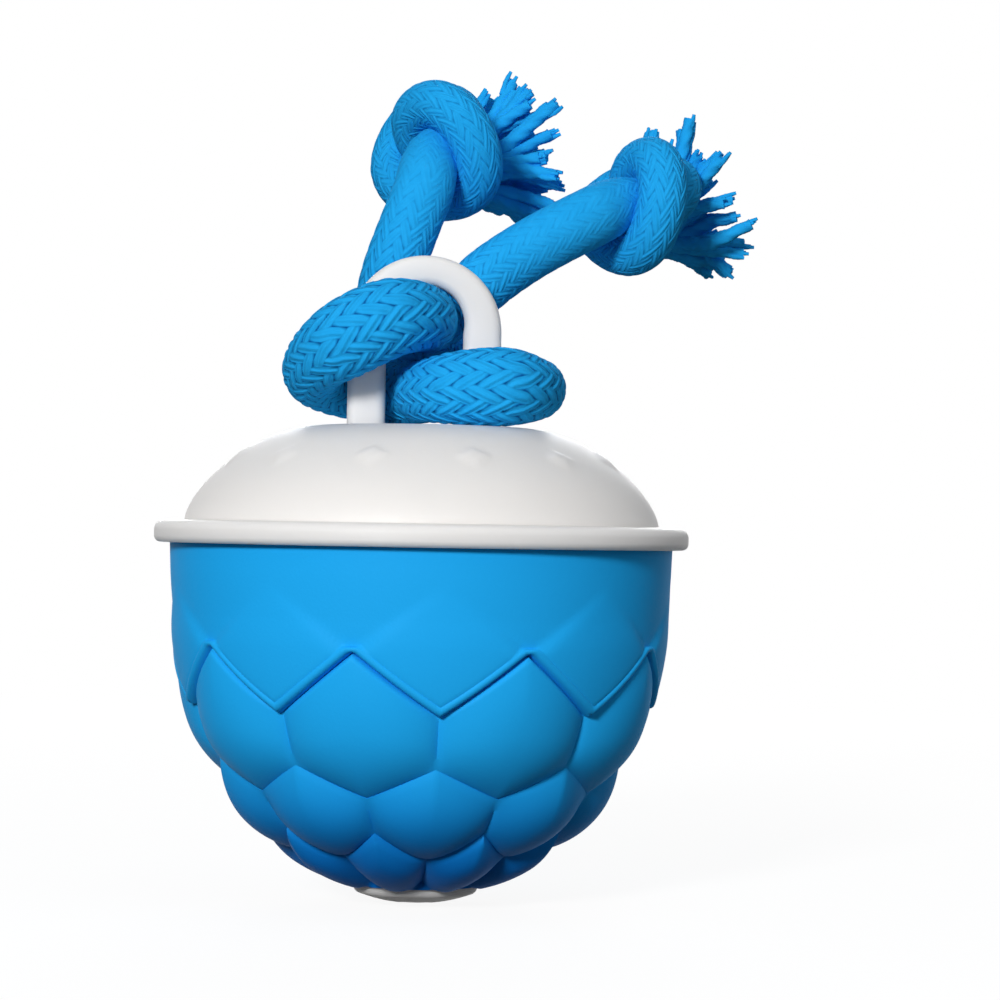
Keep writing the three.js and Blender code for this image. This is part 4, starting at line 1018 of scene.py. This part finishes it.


# Paints shade into the rubber's colour: darker blue lower down, by object height
def paintLowerShade(material):
    tree = material.node_tree
    shader = tree.nodes["Principled BSDF"]
    place = addNode(tree, "ShaderNodeTexCoord").outputs["Object"]
    height = addNode(tree, "ShaderNodeSeparateXYZ", {"Vector": place}).outputs["Z"]
    low, high = sleeve["lowShadeHeights"]
    wires = {"Value": height, "From Min": high * mm, "From Max": low * mm}
    share = addNode(tree, "ShaderNodeMapRange", wires, interpolation_type="SMOOTHSTEP").outputs["Result"]
    plain = shader.inputs["Base Color"].links[0].from_socket
    wires = {0: share, 6: plain, 7: (*sleeve["lowShade"], 1)}
    mix = addNode(tree, "ShaderNodeMix", wires, data_type="RGBA")
    tree.links.new(mix.outputs[2], shader.inputs["Base Color"])


paintLowerShade(materials["blue_rubber"])
values = {"Count": sleeve["count"], "Material": materials["blue_rubber"]}
sleeveSkin = growPiece("sleeveSkin", addPiece("sleeveSector", sleeveSector()), ringTree(), values)
shadeSmooth(sleeveSkin.data, sleeve["sharp"])
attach(sleeveSkin, "shell")
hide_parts("grip_sleeve")
print("sleeve triangles", 2 * len(sleeveSkin.data.polygons))

hub = {
    "flat": 3.0,
    "belly": 24.8,
    "bellyEdge": 9.3,
    "bellyRings": 16,
    "corner": [(-0.2, 1.85), (0.0, 2.3)],
    "radius": 9.8,
    "flange": (13.2, 11.2, 15.1),  # radius, underside, top
    "cup": (8.0, 7.9),  # radius, ledge
    "bore": (7.0, 1.8),  # radius, floor
    "button": (3.25, (0, 3)),  # radius, place
    "slot": (9.6, 3.9, -3.4),  # width, height, place
    "screws": (11.3, 1.2, 11.9),  # distance, radius, foot
    "screwTurns": (90, 210, 330),
    "through": 1,  # how far a cut goes past the wall
    "sides": 128,
    "buttonSides": 64,
    "slotSteps": 16,
    "screwSides": 24,
}


def cutter(name, outline, bottom, top):
    size = len(outline)
    points = [(x * mm, y * mm, z * mm) for z in (bottom, top) for x, y in outline]
    faces = [tuple(range(size - 1, -1, -1)), tuple(range(size, 2 * size))]
    faces += [(k, (k + 1) % size, size + (k + 1) % size, size + k) for k in range(size)]
    mesh = bpy.data.meshes.new(name)
    mesh.from_pydata(points, [], faces)
    return addPiece(name, mesh)


def hubPiece():
    belly = []
    for r in np.linspace(hub["flat"], hub["bellyEdge"], hub["bellyRings"]):
        belly.append((r, (r**2 - hub["flat"] ** 2) / (2 * hub["belly"])))
    corner = [(hub["radius"] + out, z) for out, z in hub["corner"]]
    flange, low, high = hub["flange"]
    cup, ledge = hub["cup"]
    bore, floor = hub["bore"]
    profile = [*belly, *corner, (hub["radius"], low), (flange, low), (flange, high), (cup, high)]
    profile += [(cup, ledge), (bore, ledge), (bore, floor), (offAxis, floor), (offAxis, 0)]
    piece = meshPiece("hubFoot", [spun(profile, hub["sides"])], materials["white_plastic"])
    radius, centre = hub["button"]
    width, height, y = hub["slot"]
    run, past = (width - height) / 2, hub["through"]
    button = circle(centre, radius, hub["buttonSides"])
    slot = arc((run, y), height / 2, -90, 90, hub["slotSteps"])
    slot += arc((-run, y), height / 2, 90, 270, hub["slotSteps"])
    tools = [cutter("buttonHole", button, -past, floor + past)]
    tools.append(cutter("socketSlot", slot, -past, floor + past))
    distance, hole, bottom = hub["screws"]
    for degrees in hub["screwTurns"]:
        screw = circle(onRing(distance, degrees), hole, hub["screwSides"])
        tools.append(cutter("screwHole", screw, bottom, high + past))
    for tool in tools:
        modifier = piece.modifiers.new(tool.name, "BOOLEAN")
        modifier.object = tool
        modifier.operation = "DIFFERENCE"
        modifier.solver = "EXACT"
    graph = bpy.context.evaluated_depsgraph_get()
    mesh = bpy.data.meshes.new_from_object(piece.evaluated_get(graph))
    piece.modifiers.clear()
    piece.data = mesh
    shadeSmooth(mesh)
    for tool in tools:
        bpy.data.objects.remove(tool)
    return piece


hubFoot = hubPiece()
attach(hubFoot, "core")
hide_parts("core_hub")
print("hub made")

replaced = {"rope", "tassel_left", "tassel_right", "dome_cover", "rope_loop", "grip_sleeve", "core_hub"}
slots = {part["node"]: part["material_slot"] for part in frame["record"]["subparts"]}
for node, piece in frame["nodes"].items():
    if node not in replaced:
        piece.data.materials.clear()
        piece.data.materials.append(materials[slots[node]])
print("inner pieces", len(frame["nodes"]) - len(replaced))

stage = {
    "size": 8.0,
    "drop": -0.0003,
    "greys": ((0.78, 0.78, 0.78, 1), (0.8, 0.8, 0.8, 1)),
    "patches": 3.0,
    "bounce": (0.08, 0.08, 0.08, 1),
    "near": 0.12,
    "far": 0.6,
    "share": 0.85,
    "white": 1.07,
    "ambient": (0.15, 0.165, 0.185, 1),
    "aim": (0, 0, 0.06),  # of every lamp
}


def seenRays(tree):
    rays = addNode(tree, "ShaderNodeLightPath").outputs
    seen = calc(tree, "MAXIMUM", rays["Is Camera Ray"], rays["Is Glossy Ray"])
    return calc(tree, "MAXIMUM", seen, rays["Is Transmission Ray"])


def floorMaterial():
    material = bpy.data.materials.new("paleFloor")
    material.use_nodes = True
    tree = material.node_tree
    tree.nodes.remove(tree.nodes["Principled BSDF"])
    place = addNode(tree, "ShaderNodeTexCoord").outputs["Object"]
    wires = {"Vector": place, "Scale": stage["patches"]}
    noise = addNode(tree, "ShaderNodeTexNoise", wires).outputs["Fac"]
    dark, light = stage["greys"]
    wires = {0: noise, 6: dark, 7: light}
    colour = addNode(tree, "ShaderNodeMix", wires, data_type="RGBA").outputs[2]
    bounced = addNode(tree, "ShaderNodeLightPath").outputs["Is Diffuse Ray"]
    wires = {0: bounced, 6: colour, 7: stage["bounce"]}
    colour = addNode(tree, "ShaderNodeMix", wires, data_type="RGBA").outputs[2]
    matte = addNode(tree, "ShaderNodeBsdfDiffuse", {"Color": colour}).outputs["BSDF"]
    reach = addNode(tree, "ShaderNodeVectorMath", {0: place}, operation="LENGTH").outputs["Value"]
    span = {"Value": reach, "From Min": stage["near"], "From Max": stage["far"], "To Max": 1.0}
    strength = addNode(tree, "ShaderNodeMapRange", {**span, "To Min": stage["white"]}).outputs["Result"]
    share = addNode(tree, "ShaderNodeMapRange", {**span, "To Min": stage["share"]}).outputs["Result"]
    glow = addNode(tree, "ShaderNodeEmission", {"Strength": strength}).outputs["Emission"]
    share = calc(tree, "MULTIPLY", seenRays(tree), share)
    mixed = addNode(tree, "ShaderNodeMixShader", {0: share, 1: matte, 2: glow}).outputs[0]
    back = addNode(tree, "ShaderNodeNewGeometry").outputs["Backfacing"]  # clear from below
    clear = addNode(tree, "ShaderNodeBsdfTransparent").outputs["BSDF"]
    mixed = addNode(tree, "ShaderNodeMixShader", {0: back, 1: mixed, 2: clear}).outputs[0]
    tree.links.new(mixed, tree.nodes["Material Output"].inputs["Surface"])
    return material


half = stage["size"] / 2
floorMesh = bpy.data.meshes.new("floor")
corners = [(x * half, y * half, stage["drop"]) for x, y in ((-1, -1), (1, -1), (1, 1), (-1, 1))]
floorMesh.from_pydata(corners, [], [(0, 1, 2, 3)])
floorMesh.materials.append(floorMaterial())
addPiece("floor", floorMesh)

world = bpy.data.worlds.new("studio")
world.use_nodes = True
scene.world = world
sky = world.node_tree
wires = {0: seenRays(sky), 6: stage["ambient"], 7: (1, 1, 1, 1)}
backdrop = addNode(sky, "ShaderNodeMix", wires, data_type="RGBA").outputs[2]
sky.links.new(backdrop, sky.nodes["Background"].inputs["Color"])

# Lamps: place, size and power
lamps = {
    "key": ((-0.36, -1.05, 0.42), 0.2, 11.6),
    "fill": ((0.8, -0.75, 0.35), 0.6, 0.9),
    "top": ((0.25, -0.2, 1.0), 0.6, 1.1),
    "back": ((0.05, 1.1, 0.4), 0.6, 6.5),
}
for name, (place, size, power) in lamps.items():
    light = bpy.data.lights.new(name, "AREA")
    light.size = size
    light.energy = power
    lamp = bpy.data.objects.new(name, light)
    lamp.location = place
    lamp.rotation_euler = (Vector(stage["aim"]) - Vector(place)).to_track_quat("-Z", "Y").to_euler()
    scene.collection.objects.link(lamp)
scene.view_settings.view_transform = "Standard"
print("stage set")
